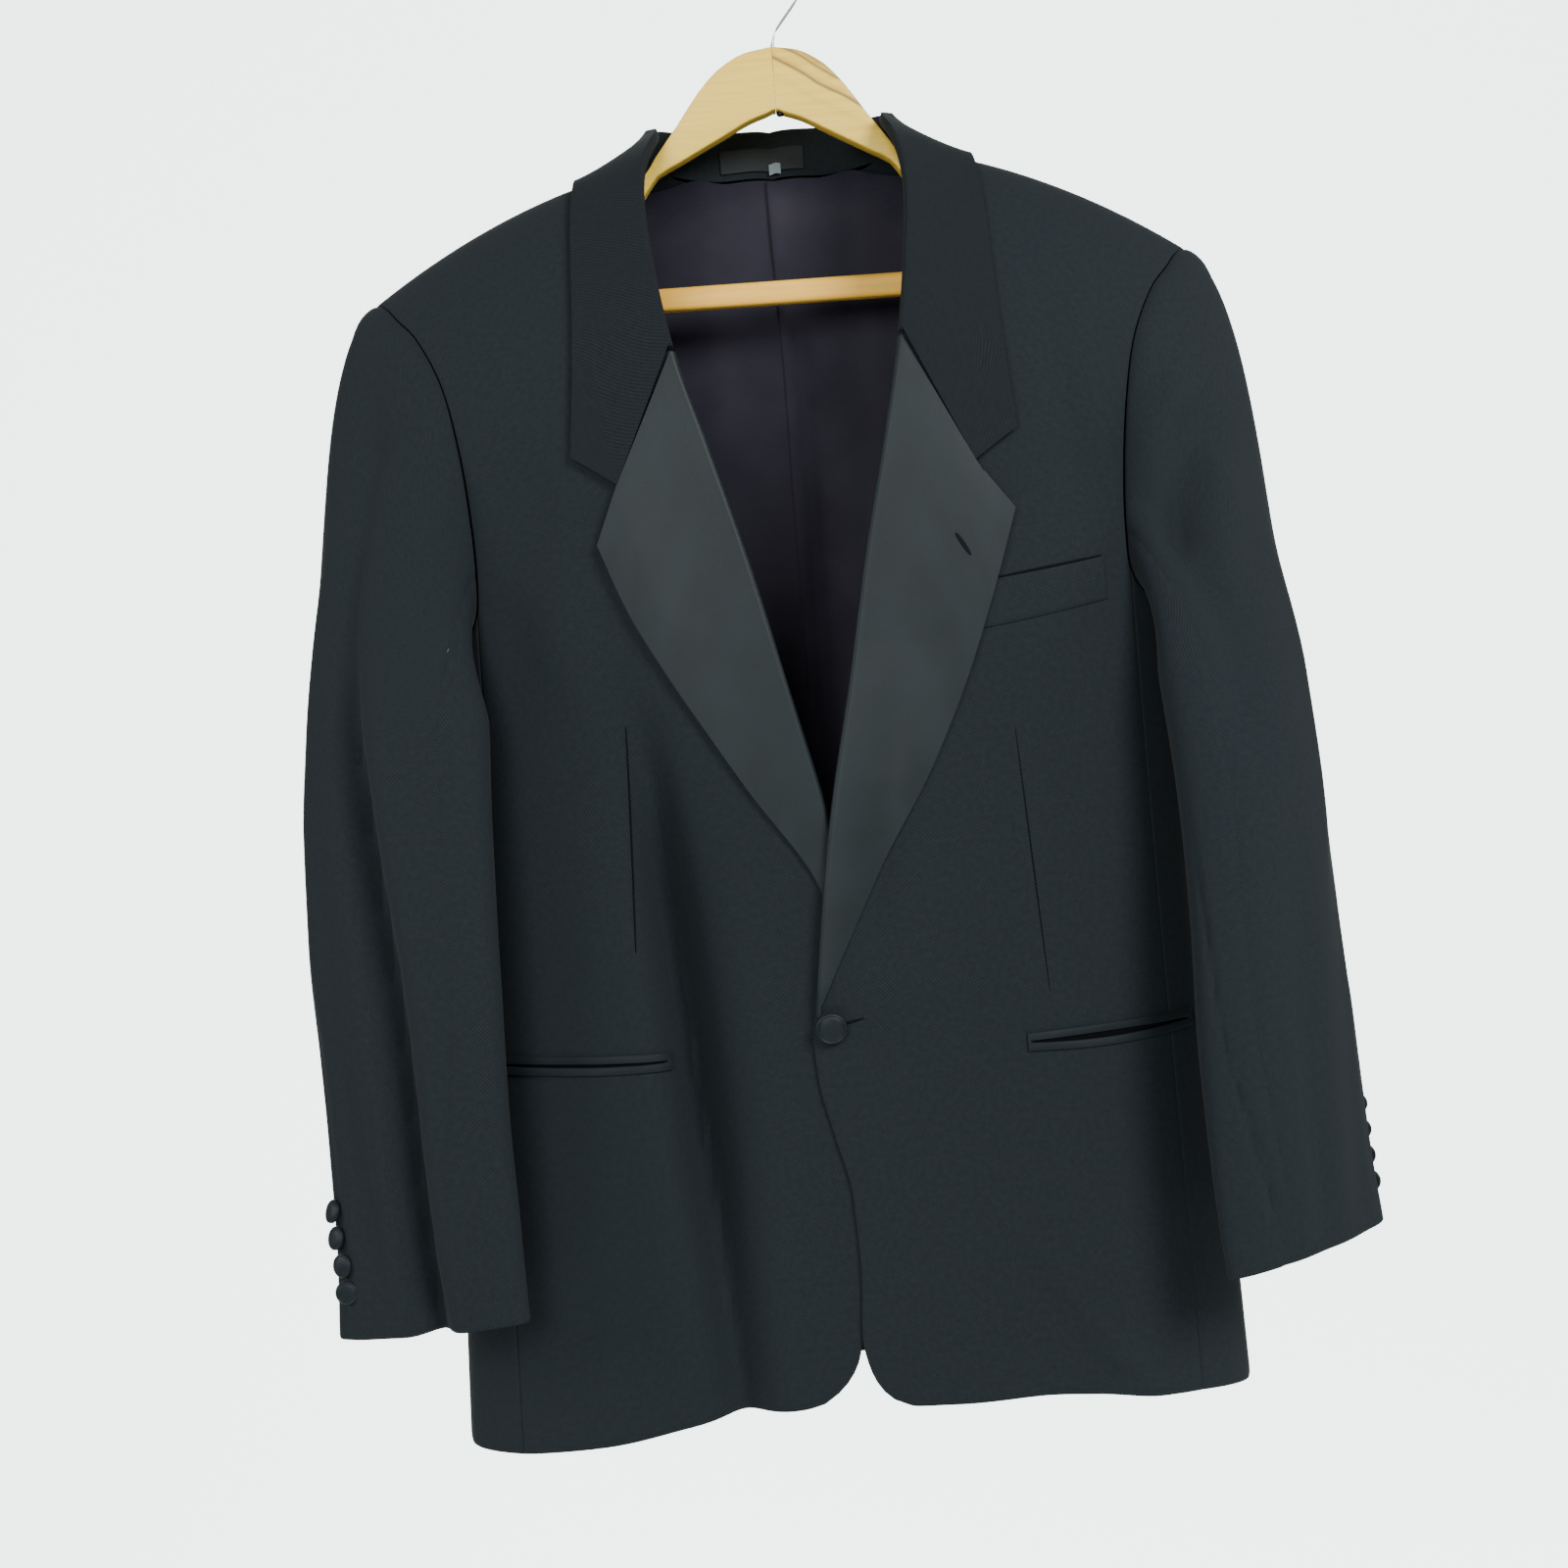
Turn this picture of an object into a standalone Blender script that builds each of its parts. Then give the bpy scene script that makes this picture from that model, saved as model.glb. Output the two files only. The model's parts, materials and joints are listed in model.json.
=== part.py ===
"""Dinner jacket hanging on a wooden hanger, each sewn piece a wall of its own.

Units are metres.  +Z is up, -Y is the jacket's front, +X is the wearer's left.
The origin is the inside top of the hanger's hook, where a rail carries it.
Cloth pieces are walls of two skins between named seams, 0.3 to 0.6 mm apart.
"""
from bisect import bisect_right
from math import acos, cos, exp, pi, radians, sin, sqrt

import bmesh
import bpy
from mathutils import Vector

NAME = "dinner_jacket"

# ---------------------------------------------------------------- sizes
CLOTH = 0.0020          # body and sleeve cloth with its interlining
SATIN = 0.0014          # lapel facing, welts and jets
THIN = 0.0011           # lining
SEAM_GAP = 0.0004       # between two sewn pieces
LAY_GAP = 0.0004        # between a piece and the cloth that it lies on

ROUNDNESS = 2.3         # power of the body's rounded oval section
SHOULDER_Z = -0.1538    # shoulder line where it is SHOULDER_X from the centre
SHOULDER_X = 0.139
SHOULDER_SLOPE = 0.3355
SHOULDER_CURVE = 1.383
FRONT_ROUNDING = 0.160  # height over which the shoulder turns into the front
BACK_ROUNDING = 0.100
NAPE_ROUNDING = 0.045   # the same at the back of the neck
NECK_X = 0.0885         # neck point on the shoulder line
NAPE_Z = -0.1450        # seam of the collar at the centre back

# Oval sections of the body, top to hem: z, half width, depth in front, depth behind.
BODY = (
    (-0.120, 0.330, 0.088, 0.040),
    (-0.220, 0.318, 0.092, 0.043),
    (-0.300, 0.292, 0.097, 0.045),
    (-0.380, 0.264, 0.100, 0.046),
    (-0.450, 0.2500, 0.101, 0.046),
    (-0.520, 0.2460, 0.100, 0.044),
    (-0.640, 0.2420, 0.098, 0.040),
    (-0.760, 0.2470, 0.096, 0.038),
    (-0.880, 0.2520, 0.094, 0.037),
    (-0.960, 0.2545, 0.092, 0.037),
)

# Roll line, then front edge: z, then its distance toward its own side, right and left.
OPENING = (
    (-0.140, 0.0855, 0.0855),
    (-0.156, 0.0838, 0.0818),
    (-0.190, 0.0810, 0.0790),
    (-0.230, 0.0766, 0.0745),
    (-0.280, 0.0680, 0.0672),
    (-0.333, 0.0532, 0.0562),
    (-0.404, 0.0336, 0.0396),
    (-0.482, 0.0152, 0.0240),
    (-0.570, -0.0050, 0.0052),
    (-0.640, -0.0150, -0.0060),
    (-0.686, -0.0175, -0.0118),
    (-0.704, -0.0175, -0.0142),
    (-0.728, -0.0172, -0.0129),
    (-0.764, -0.0150, -0.0053),
    (-0.801, -0.0120, 0.0029),
    (-0.849, -0.0080, 0.0048),
    (-0.890, -0.0030, 0.0028),
    (-0.905, 0.0005, 0.0052),
    (-0.920, 0.0104, 0.0112),
    (-0.929, 0.0230, 0.0200),
)

# Hem, from the front corner to the side: x, then the height on the right and the left.
HEM = (
    (0.020, -0.9270, -0.9290),
    (0.034, -0.9305, -0.9342),
    (0.072, -0.9330, -0.9358),
    (0.108, -0.9398, -0.9360),
    (0.146, -0.9482, -0.9385),
    (0.190, -0.9540, -0.9452),
    (0.224, -0.9565, -0.9464),
    (0.254, -0.9545, -0.9415),
)
BACK_HEM_Z = -0.9275    # at the centre back
BACK_HEM_SIDE_Z = -0.9480

# Armhole, from the shoulder tip round the front, under the arm and up the back:
# x, z, face (-1 front, 1 back), and the place round the sleeve in degrees.
ARMHOLE = (
    (0.2647, -0.2179, -1, 0.0),
    (0.2500, -0.2290, -1, 10.0),
    (0.2330, -0.2500, -1, 24.0),
    (0.2170, -0.2850, -1, 44.0),
    (0.2080, -0.3300, -1, 72.0),
    (0.2040, -0.3750, -1, 108.0),
    (0.2035, -0.4050, -1, 140.0),
    (0.2055, -0.4280, -1, 172.0),
    (0.2140, -0.4420, -1, 202.0),
    (0.2290, -0.4520, -1, 234.0),
    (0.2430, -0.4575, -1, 264.0),
    (0.2500, -0.4580, 0, 283.0),
    (0.2430, -0.4520, 1, 297.0),
    (0.2300, -0.4300, 1, 309.0),
    (0.2240, -0.3850, 1, 321.0),
    (0.2250, -0.3350, 1, 332.0),
    (0.2310, -0.2850, 1, 342.0),
    (0.2420, -0.2480, 1, 350.0),
    (0.2530, -0.2300, 1, 356.0),
)
FRONT_ARM = range(0, 8)         # rows of the armhole on the front
SIDE_ARM = range(7, 14)         # on the side panel
BACK_ARM = range(13, 20)        # on the back; row 19 is the tip again
SIDE_FRONT_HEM_X = 0.2150       # where the side seams meet the hem
SIDE_BACK_HEM_X = 0.2080

# Sections of the sleeves below the arm: z, the middle's x and y, half the width seen
# from the front, half the thickness, and the turn of the section in degrees.
SLEEVE = {
    "right": (
        (-0.500, 0.2595, -0.0690, 0.0605, 0.0350, 34.0),
        (-0.560, 0.2627, -0.0745, 0.0617, 0.0350, 32.0),
        (-0.650, 0.2642, -0.0790, 0.0623, 0.0330, 30.0),
        (-0.750, 0.2625, -0.0820, 0.0601, 0.0290, 26.0),
        (-0.810, 0.2610, -0.0830, 0.0605, 0.0250, 23.0),
        (-0.868, 0.2614, -0.0830, 0.0625, 0.0190, 20.0),
    ),
    "left": (
        (-0.500, 0.2640, -0.0670, 0.0500, 0.0325, 42.0),
        (-0.560, 0.2680, -0.0740, 0.0495, 0.0330, 42.0),
        (-0.650, 0.2717, -0.0830, 0.0520, 0.0320, 40.0),
        (-0.720, 0.2728, -0.0870, 0.0550, 0.0290, 36.0),
        (-0.800, 0.2760, -0.0880, 0.0553, 0.0240, 34.0),
        (-0.856, 0.2808, -0.0870, 0.0556, 0.0190, 33.0),
    ),
}
CUFF_TILT = {"right": 0.086, "left": -0.150}    # rise of the cuff per metre outward
CAP_STEPS = (0.0, 0.09, 0.22, 0.38, 0.56, 0.78, 1.0)
FOREARM_SEAM = 6                # column of ARMHOLE where the front sleeve seam runs
ELBOW_SEAM = 16                 # and the back one
BUTTON_COLUMN = 17              # the cuff buttons sit just before it
SEAM_TWIST = 30.0               # degrees that the forearm seam comes forward by the cuff

# Lapel edge from its point down to where the roll ends: right x and z, left x and z.
LAPEL = (
    (0.1242, -0.3923, 0.1318, -0.3872),
    (0.1080, -0.4340, 0.1153, -0.4364),
    (0.0866, -0.4759, 0.0953, -0.4889),
    (0.0438, -0.5479, 0.0672, -0.5468),
    (0.0040, -0.6110, 0.0297, -0.6101),
    (-0.0110, -0.6640, -0.0050, -0.6700),
)
NOTCH = (0.1095, -0.3585)       # where lapel and collar part
GORGE_Z = -0.2760               # seam of collar and lapel at the roll line
# Collar from the nape to the gorge: seam x and z, outer edge x and z, height of the
# stand, and the face that it lies on (1 back, 0 the shoulder line, -1 front).
COLLAR = (
    (0.0000, -0.1450, 0.0000, -0.1640, 0.0300, 1),
    (0.0300, -0.1446, 0.0460, -0.1648, 0.0300, 1),
    (0.0600, -0.1430, 0.0860, -0.1640, 0.0280, 1),
    (0.0800, -0.1405, 0.1130, -0.1582, 0.0240, 1),
    (0.0870, -0.1399, 0.1260, -0.1494, 0.0215, 0),
    (0.0866, -0.1460, 0.1280, -0.1650, 0.0185, -1),
    (0.0866, -0.1640, 0.1292, -0.1930, 0.0145, -1),
    (0.0826, -0.1950, 0.1298, -0.2310, 0.0085, -1),
    (0.0770, -0.2360, 0.1316, -0.2750, 0.0050, -1),
    (0.0716, -0.2745, 0.1370, -0.3375, 0.0032, -1),
)

# Soft folds of the hanging cloth, troughs + and ridges -:
# face, x and z at the top, x and z at the bottom, half width, depth.
FOLDS = (
    (-1, -0.0760, -0.560, -0.0900, -0.960, 0.016, 0.0075),
    (-1, -0.1080, -0.600, -0.1250, -0.980, 0.022, -0.0040),
    (-1, 0.0960, -0.620, 0.1200, -0.980, 0.026, 0.0030),
    (-1, -0.1750, -0.300, -0.1900, -0.520, 0.020, 0.0050),
    (-1, 0.1800, -0.300, 0.1950, -0.520, 0.022, 0.0030),
    (1, -0.1150, -0.300, -0.1400, -0.990, 0.028, 0.0050),
    (1, 0.1100, -0.330, 0.1300, -0.990, 0.030, 0.0055),
    (1, -0.0400, -0.420, -0.0550, -0.990, 0.024, -0.0030),
)
# The same on the sleeves: side, z and angle at the top, at the bottom, half width, depth.
SLEEVE_FOLDS = (
    ("right", -0.360, 42.0, -0.900, 84.0, 20.0, 0.0060),
    ("right", -0.330, 20.0, -0.700, 30.0, 18.0, -0.0030),
    ("left", -0.300, 92.0, -0.560, 128.0, 18.0, 0.0055),
    ("left", -0.560, 40.0, -0.880, 62.0, 24.0, 0.0040),
)

BUTTON_X = -0.0029
BUTTON_Z = -0.6970
BUTTON_RADIUS = 0.0098
CUFF_BUTTON_RADIUS = 0.0074
SHANK = 0.0012                  # radius and height of a button's shank
CUFF_BUTTON_PITCH = 0.0163
CUFF_BUTTON_Z = {"right": -0.7935, "left": -0.7750}

# Patches that lie on the fronts: corners as (x, z), clockwise from the upper inner one.
BREAST_WELT = ((0.1106, -0.4308), (0.1872, -0.4191), (0.1877, -0.4458), (0.1067, -0.4600))
# Upper edge of each hip pocket: side, inner x and z, outer x and z, sag of its mouth.
JETS = (
    ("right", 0.1038, -0.7078, 0.2220, -0.7045, 0.0030),
    ("left", 0.1176, -0.7108, 0.2260, -0.7068, 0.0025),
)
JET_WIDTH = 0.0050
JET_MOUTH = 0.0016
JET_END = 0.02                  # share of the length that closes each end

# Hanger arm from the middle outward: x, top, underside.
HANGER = (
    (0.0000, -0.0676, -0.1086),
    (0.0160, -0.0700, -0.1140),
    (0.0330, -0.0790, -0.1230),
    (0.0480, -0.0945, -0.1310),
    (0.0620, -0.1145, -0.1385),
    (0.0760, -0.1330, -0.1460),
    (0.0800, -0.1394, -0.1510),
    (0.0835, -0.1444, -0.1560),
)
HANGER_THICKNESS = 0.0130
HANGER_SHIFT = 0.0050           # the hanger's middle stands off the jacket's
HANGER_EASE = 0.0035            # rounding of its edges
HANGER_DEPTH = 0.0290           # height of the arm under the shoulder
HANGER_END_X = 0.2080
BAR_TOP_Z = -0.2190
BAR_HEIGHT = 0.0150
BAR_THICKNESS = 0.0110
BAR_END_X = 0.1760
HOOK_WIRE = 0.0040
HOOK_RADIUS = 0.0220            # inside radius of the hook

SIDES = {"right": -1, "left": 1}


# ---------------------------------------------------------------- helpers
def table_value(table, key, column):
    """Smooth value of a column at a key of the first column, which rises or falls."""
    keys = [row[0] for row in table]
    values = [row[column] for row in table]
    if keys[0] > keys[-1]:
        keys = [-k for k in keys]
        key = -key
    if key <= keys[0]:
        return values[0]
    if key >= keys[-1]:
        return values[-1]
    i = bisect_right(keys, key) - 1
    slope = [(values[j + 1] - values[j]) / (keys[j + 1] - keys[j]) for j in range(len(keys) - 1)]

    def tangent(j):
        if j == 0:
            return slope[0]
        if j == len(keys) - 1:
            return slope[-1]
        if slope[j - 1] * slope[j] <= 0:
            return 0.0
        return 2 * slope[j - 1] * slope[j] / (slope[j - 1] + slope[j])

    span = keys[i + 1] - keys[i]
    t = (key - keys[i]) / span
    return ((2 * t ** 3 - 3 * t ** 2 + 1) * values[i] + (t ** 3 - 2 * t ** 2 + t) * span * tangent(i)
            + (3 * t ** 2 - 2 * t ** 3) * values[i + 1] + (t ** 3 - t ** 2) * span * tangent(i + 1))


def ease(t):
    """0 to 1 with level ends."""
    t = min(max(t, 0.0), 1.0)
    return t * t * (3 - 2 * t)


def mix(a, b, t):
    return a + (b - a) * t


def fractions(count):
    return [i / count for i in range(count + 1)]


def shoulder_z(x):
    """Height of the shoulder line, as a symmetric curve."""
    run = abs(x) - SHOULDER_X
    return SHOULDER_Z - SHOULDER_SLOPE * run - SHOULDER_CURVE * run * run


def rounding(x, face):
    if face < 0:
        return FRONT_ROUNDING
    return mix(NAPE_ROUNDING, BACK_ROUNDING, ease((abs(x) - 0.05) / 0.11))


def nape_lift(x, face):
    """The back of the neck starts its rounding higher than the shoulder line."""
    return 0.018 * (1 - ease(abs(x) / NECK_X)) if face > 0 else 0.0


def drop_of(x, z, face):
    """Way down from the shoulder line over the rounding, as a smooth measure of z."""
    high = rounding(x, face)
    fall = max(shoulder_z(x) + nape_lift(x, face) - z, 0.0)
    if fall < high:
        return acos(1 - fall / high) * high
    return high * pi / 2 + fall - high


def height_of(x, drop, face):
    """The z and the rounding share (0 at the shoulder line, 1 below it) of a drop."""
    high = rounding(x, face)
    top = shoulder_z(x) + nape_lift(x, face)
    if drop < high * pi / 2:
        angle = max(drop, 0.0) / high
        return top - high * (1 - cos(angle)), sin(angle)
    return top - high - (drop - high * pi / 2), 1.0


def fold_depth(x, z, face):
    depth = 0.0
    for row_face, x0, z0, x1, z1, half_width, amount in FOLDS:
        if row_face != face:
            continue
        t = (z0 - z) / (z0 - z1)
        if t < 0 or t > 1.2:
            continue
        centre = mix(x0, x1, t)
        grow = ease(t / 0.35)
        if z1 > -0.9:
            grow *= 1 - ease((t - 0.6) / 0.4)
        depth += amount * grow * exp(-((x - centre) / half_width) ** 2)
    return depth


def overlap_lift(x, z):
    """The left front lies on the right one below the crossing of the roll lines."""
    rows = ((-0.465, 0.0), (-0.555, 0.0074), (-0.690, 0.0076), (-0.750, 0.0034), (-0.960, 0.0031))
    return table_value(rows, z, 1) * (1 - ease((x - 0.035) / 0.075))


def body_point(x, drop, face, lifted=False):
    """A point of the body's outer skin; x is signed, face -1 is the front."""
    z, share = height_of(x, drop, face)
    half_width = table_value(BODY, z, 1)
    depth = table_value(BODY, z, 2 if face < 0 else 3)
    across = min(abs(x) / half_width, 1.0)
    y = depth * (1 - across ** ROUNDNESS) ** (1 / ROUNDNESS) * share
    calm = 1 - ease((abs(x) - 0.165) / 0.05)
    y -= fold_depth(x, z, face) * share * calm
    if lifted:
        y += overlap_lift(x, z)
    return Vector((x, y * face, z))


def body_normal(x, drop, face, lifted=False):
    step = 0.0015
    across = body_point(x + step, drop, face, lifted) - body_point(x - step, drop, face, lifted)
    down = body_point(x, drop + step, face, lifted) - body_point(x, max(drop - step, 0), face, lifted)
    return across.cross(down).normalized() * face


def side_point(turn, z, sign):
    """A point of the side, turn in radians from the side (0) to the back (+) or front (-)."""
    half_width = table_value(BODY, z, 1)
    depth = table_value(BODY, z, 2 if turn < 0 else 3)
    power = 2 / ROUNDNESS
    y = depth * abs(sin(turn)) ** power * (-1 if turn < 0 else 1)
    return Vector((sign * half_width * cos(turn) ** power, y, z))


def side_normal(turn, z, sign):
    step = 0.01
    across = side_point(turn + step, z, sign) - side_point(turn - step, z, sign)
    down = side_point(turn, z - 0.002, sign) - side_point(turn, z + 0.002, sign)
    return down.cross(across).normalized() * sign


def turn_of(x, z, face):
    """The side's turn where the oval is x from the centre."""
    share = min(x / table_value(BODY, z, 1), 1.0)
    return acos(share ** (ROUNDNESS / 2)) * face


# ---------------------------------------------------------------- making of meshes
collection = bpy.data.collections.new(NAME)


def material(name, colour, roughness, metallic=0.0):
    made = bpy.data.materials.new(name)
    made.use_nodes = True
    shader = made.node_tree.nodes["Principled BSDF"]
    shader.inputs["Base Color"].default_value = (*colour, 1.0)
    shader.inputs["Roughness"].default_value = roughness
    shader.inputs["Metallic"].default_value = metallic
    return made


LOOKS = {
    "wool": ((0.014, 0.017, 0.021), 0.85, 0.0),
    "collar_wool": ((0.017, 0.021, 0.025), 0.85, 0.0),
    "satin": ((0.035, 0.052, 0.058), 0.45, 0.0),
    "lining": ((0.016, 0.012, 0.020), 0.5, 0.0),
    "label": ((0.010, 0.010, 0.012), 0.6, 0.0),
    "wood": ((0.62, 0.46, 0.25), 0.5, 0.0),
    "steel": ((0.60, 0.61, 0.62), 0.25, 1.0),
}


def add_object(name, mesh, look):
    mesh.materials.append(material(name, *LOOKS[look]))
    made = bpy.data.objects.new(name, mesh)
    collection.objects.link(made)
    return made


def signed_volume(mesh):
    mesh.calc_loop_triangles()
    total = 0.0
    for tri in mesh.loop_triangles:
        a, b, c = (mesh.vertices[i].co for i in tri.vertices)
        total += a.dot(b.cross(c))
    return total


def wall(name, outer, inner, look, ring=False):
    """A closed wall between two grids of points; ring joins each row's ends."""
    rows, columns = len(outer), len(outer[0])
    verts = [p for grid in (outer, inner) for row in grid for p in row]
    half = rows * columns
    steps = columns if ring else columns - 1

    def at(r, c, layer):
        return layer * half + r * columns + c % columns

    faces = []
    for r in range(rows - 1):
        for c in range(steps):
            faces.append((at(r, c, 0), at(r, c + 1, 0), at(r + 1, c + 1, 0), at(r + 1, c, 0)))
            faces.append((at(r, c, 1), at(r + 1, c, 1), at(r + 1, c + 1, 1), at(r, c + 1, 1)))
    for c in range(steps):
        faces.append((at(0, c + 1, 0), at(0, c, 0), at(0, c, 1), at(0, c + 1, 1)))
        last = rows - 1
        faces.append((at(last, c, 0), at(last, c + 1, 0), at(last, c + 1, 1), at(last, c, 1)))
    if not ring:
        for r in range(rows - 1):
            faces.append((at(r, 0, 0), at(r + 1, 0, 0), at(r + 1, 0, 1), at(r, 0, 1)))
            end = columns - 1
            faces.append((at(r + 1, end, 0), at(r, end, 0), at(r, end, 1), at(r + 1, end, 1)))
    mesh = bpy.data.meshes.new(name)
    mesh.from_pydata(verts, [], faces)
    if signed_volume(mesh) < 0:
        mesh.flip_normals()
    mesh.shade_smooth()
    mesh.set_sharp_from_angle(angle=radians(40))
    return add_object(name, mesh, look)


def skins(points, normals, thickness, lift=0.0):
    """The outer and inner grids of a wall whose outer skin is lift above the points."""
    outer = [[p + n * lift for p, n in zip(*rows)] for rows in zip(points, normals)]
    inner = [[p + n * (lift - thickness) for p, n in zip(*rows)] for rows in zip(points, normals)]
    return outer, inner


def coons(left, right, top, bottom):
    """Blend of four borders of (x, drop) pairs that share their corners."""
    rows, columns = len(left), len(top)
    grid = []
    for i in range(rows):
        v = i / (rows - 1)
        row = []
        for j in range(columns):
            u = j / (columns - 1)
            point = []
            for k in (0, 1):
                value = (1 - u) * left[i][k] + u * right[i][k]
                value += (1 - v) * top[j][k] + v * bottom[j][k]
                value -= (1 - u) * (1 - v) * left[0][k] + u * (1 - v) * right[0][k]
                value -= (1 - u) * v * left[-1][k] + u * v * right[-1][k]
                point.append(value)
            row.append(point)
        grid.append(row)
    return grid


# ---------------------------------------------------------------- body panels
def opening_x(z, side):
    return table_value(OPENING, z, 1 if side == "right" else 2)


def hem_z(x, side):
    return table_value(HEM, x, 1 if side == "right" else 2)


SEAM_ROWS = (0.0, 0.10, 0.17, 0.24, 0.32, 0.42, 0.50, 0.55, 0.62, 0.72, 0.82, 0.90, 0.95, 0.98, 1.0)
FIRST_STEPS = (0.0, 0.12, 0.30, 0.60)   # rows that follow the rounding of the shoulder
LATER_STEPS = (0.0, 0.5)
ROLL_SEAT = 0.0034      # the front's own edge stands back from the lapel's roll


def seam_x(armhole_row, hem_x, t):
    return mix(ARMHOLE[armhole_row][0], hem_x, ease(t) * 0.5 + t * 0.5)


def armhole_rows(indices, face):
    """Border rows (x, drop, share) down the armhole; share is the way to its lowest row."""
    marks = [(ARMHOLE[i % len(ARMHOLE)][0], ARMHOLE[i % len(ARMHOLE)][1]) for i in indices]
    drops = [drop_of(x, z, face) for x, z in marks]
    drops[0] = SEAM_GAP
    fall = marks[0][1] - marks[-1][1]
    rows = []
    for k in range(len(marks) - 1):
        for step in FIRST_STEPS if k == 0 else LATER_STEPS:
            z = mix(marks[k][1], marks[k + 1][1], step)
            share = (marks[0][1] - z) / fall
            rows.append((mix(marks[k][0], marks[k + 1][0], step), mix(drops[k], drops[k + 1], step), share))
    rows.append((marks[-1][0], drops[-1], 1.0))
    return rows


def straighten_armhole(points, spans):
    """Rows between two marks of the armhole lie on the chord between them."""
    row = 0
    for k in range(spans):
        steps = FIRST_STEPS if k == 0 else LATER_STEPS
        start, end = points[row][-1], points[row + len(steps)][-1]
        for i, step in enumerate(steps):
            points[row + i][-1] = start.lerp(end, step)
        row += len(steps)


def front_panel(side):
    """From shoulder seam to hem, between the roll line or front edge and the side seam."""
    sign = SIDES[side]
    lifted = side == "left"
    hem_low = hem_z(SIDE_FRONT_HEM_X, side)
    low_z = ARMHOLE[FRONT_ARM[-1]][1]
    top_z = shoulder_z(NECK_X)
    corner_z = OPENING[-1][0]
    outer, inner = [], []
    for x, drop, share in armhole_rows(FRONT_ARM, -1):
        outer.append((x - SEAM_GAP / 2, drop))
        inner.append(mix(top_z, low_z, share))
    for t in SEAM_ROWS[1:]:
        x = seam_x(FRONT_ARM[-1], SIDE_FRONT_HEM_X, t) - SEAM_GAP / 2
        outer.append((x, drop_of(x, mix(low_z, hem_low, t), -1)))
        inner.append(mix(low_z, corner_z, t))
    edge = []
    for z in inner:
        back = ROLL_SEAT * (1 - ease((-0.672 - z) / 0.018))
        x = opening_x(z, side) + back
        edge.append((x, drop_of(x, z, -1)))
    columns = fractions(12)
    top = [(mix(NECK_X, outer[0][0], u), SEAM_GAP) for u in columns]
    hem = []
    for u in columns:
        x = mix(edge[-1][0], outer[-1][0], u ** 1.35)
        hem.append((x, drop_of(x, hem_z(x, side), -1)))
    edge[0], hem[0], hem[-1] = top[0], edge[-1], outer[-1]
    grid = coons(edge, outer, top, hem)
    points = [[body_point(x * sign, d, -1, lifted) for x, d in row] for row in grid]
    normals = [[body_normal(x * sign, d, -1, lifted) for x, d in row] for row in grid]
    straighten_armhole(points, len(FRONT_ARM) - 1)
    return wall("front_" + side, *skins(points, normals, CLOTH), "wool")


def back_hem_z(x):
    return mix(BACK_HEM_Z, BACK_HEM_SIDE_Z, ease(x / 0.24))


def back_panel(side):
    """Half of the back, from the collar and shoulder seams to the hem."""
    sign = SIDES[side]
    low_z = ARMHOLE[BACK_ARM[0]][1]
    hem_low = back_hem_z(SIDE_BACK_HEM_X)
    outer, centre = [], []
    for x, drop, share in armhole_rows(tuple(reversed(BACK_ARM)), 1):
        outer.append((x - SEAM_GAP / 2, drop))
        centre.append(mix(NAPE_Z, low_z, share))
    for t in SEAM_ROWS[1:]:
        x = seam_x(BACK_ARM[0], SIDE_BACK_HEM_X, t) - SEAM_GAP / 2
        outer.append((x, drop_of(x, mix(low_z, hem_low, t), 1)))
        centre.append(mix(low_z, BACK_HEM_Z, t))
    middle = [(SEAM_GAP / 2, drop_of(0.0, z, 1)) for z in centre]
    top = [(max(row[0], SEAM_GAP / 2), drop_of(row[0], row[1], 1)) for row in COLLAR[:3]]
    top += [(mix(NECK_X, outer[0][0], u), SEAM_GAP) for u in fractions(6)]
    hem = []
    for i in range(len(top)):
        x = mix(middle[-1][0], outer[-1][0], i / (len(top) - 1))
        hem.append((x, drop_of(x, back_hem_z(x), 1)))
    middle[0], middle[-1], hem[-1] = top[0], hem[0], outer[-1]
    grid = coons(middle, outer, top, hem)
    points = [[body_point(x * sign, d, 1) for x, d in row] for row in grid]
    normals = [[body_normal(x * sign, d, 1) for x, d in row] for row in grid]
    straighten_armhole(points, len(BACK_ARM) - 1)
    return wall("back_" + side, *skins(points, normals, CLOTH), "wool")


def side_panel(side):
    """Under the arm, between the two side seams."""
    sign = SIDES[side]
    rows_out, rows_norm = [], []
    top = [ARMHOLE[i] for i in SIDE_ARM]
    count = len(top)
    hem_front = hem_z(SIDE_FRONT_HEM_X, side)
    hem_back = back_hem_z(SIDE_BACK_HEM_X)
    top_turns = [turn_of(row[0], row[1], row[2] or 1) if row[2] else 0.0 for row in top]
    for t in SEAM_ROWS:
        front_z = mix(top[0][1], hem_front, t)
        back_z = mix(top[-1][1], hem_back, t)
        front_turn = turn_of(seam_x(FRONT_ARM[-1], SIDE_FRONT_HEM_X, t), front_z, -1)
        back_turn = turn_of(seam_x(BACK_ARM[0], SIDE_BACK_HEM_X, t), back_z, 1)
        points, normals = [], []
        for i in range(count):
            u = i / (count - 1)
            even = mix(front_turn, back_turn, u)
            turn = mix(even, top_turns[i], 1 - t)
            z = mix(front_z, back_z, u)
            chord = mix(top[0][1], top[-1][1], u)
            z += (top[i][1] - chord) * (1 - t) ** 2
            z -= 0.004 * sin(pi * u) * t
            edge = SEAM_GAP / 2 / table_value(BODY, z, 2)
            if i == 0:
                turn = front_turn + edge
            if i == count - 1:
                turn = back_turn - edge * 2
            points.append(side_point(turn, z, sign))
            normals.append(side_normal(turn, z, sign))
        rows_out.append(points)
        rows_norm.append(normals)
    return wall("side_" + side, *skins(rows_out, rows_norm, CLOTH), "wool")


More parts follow.
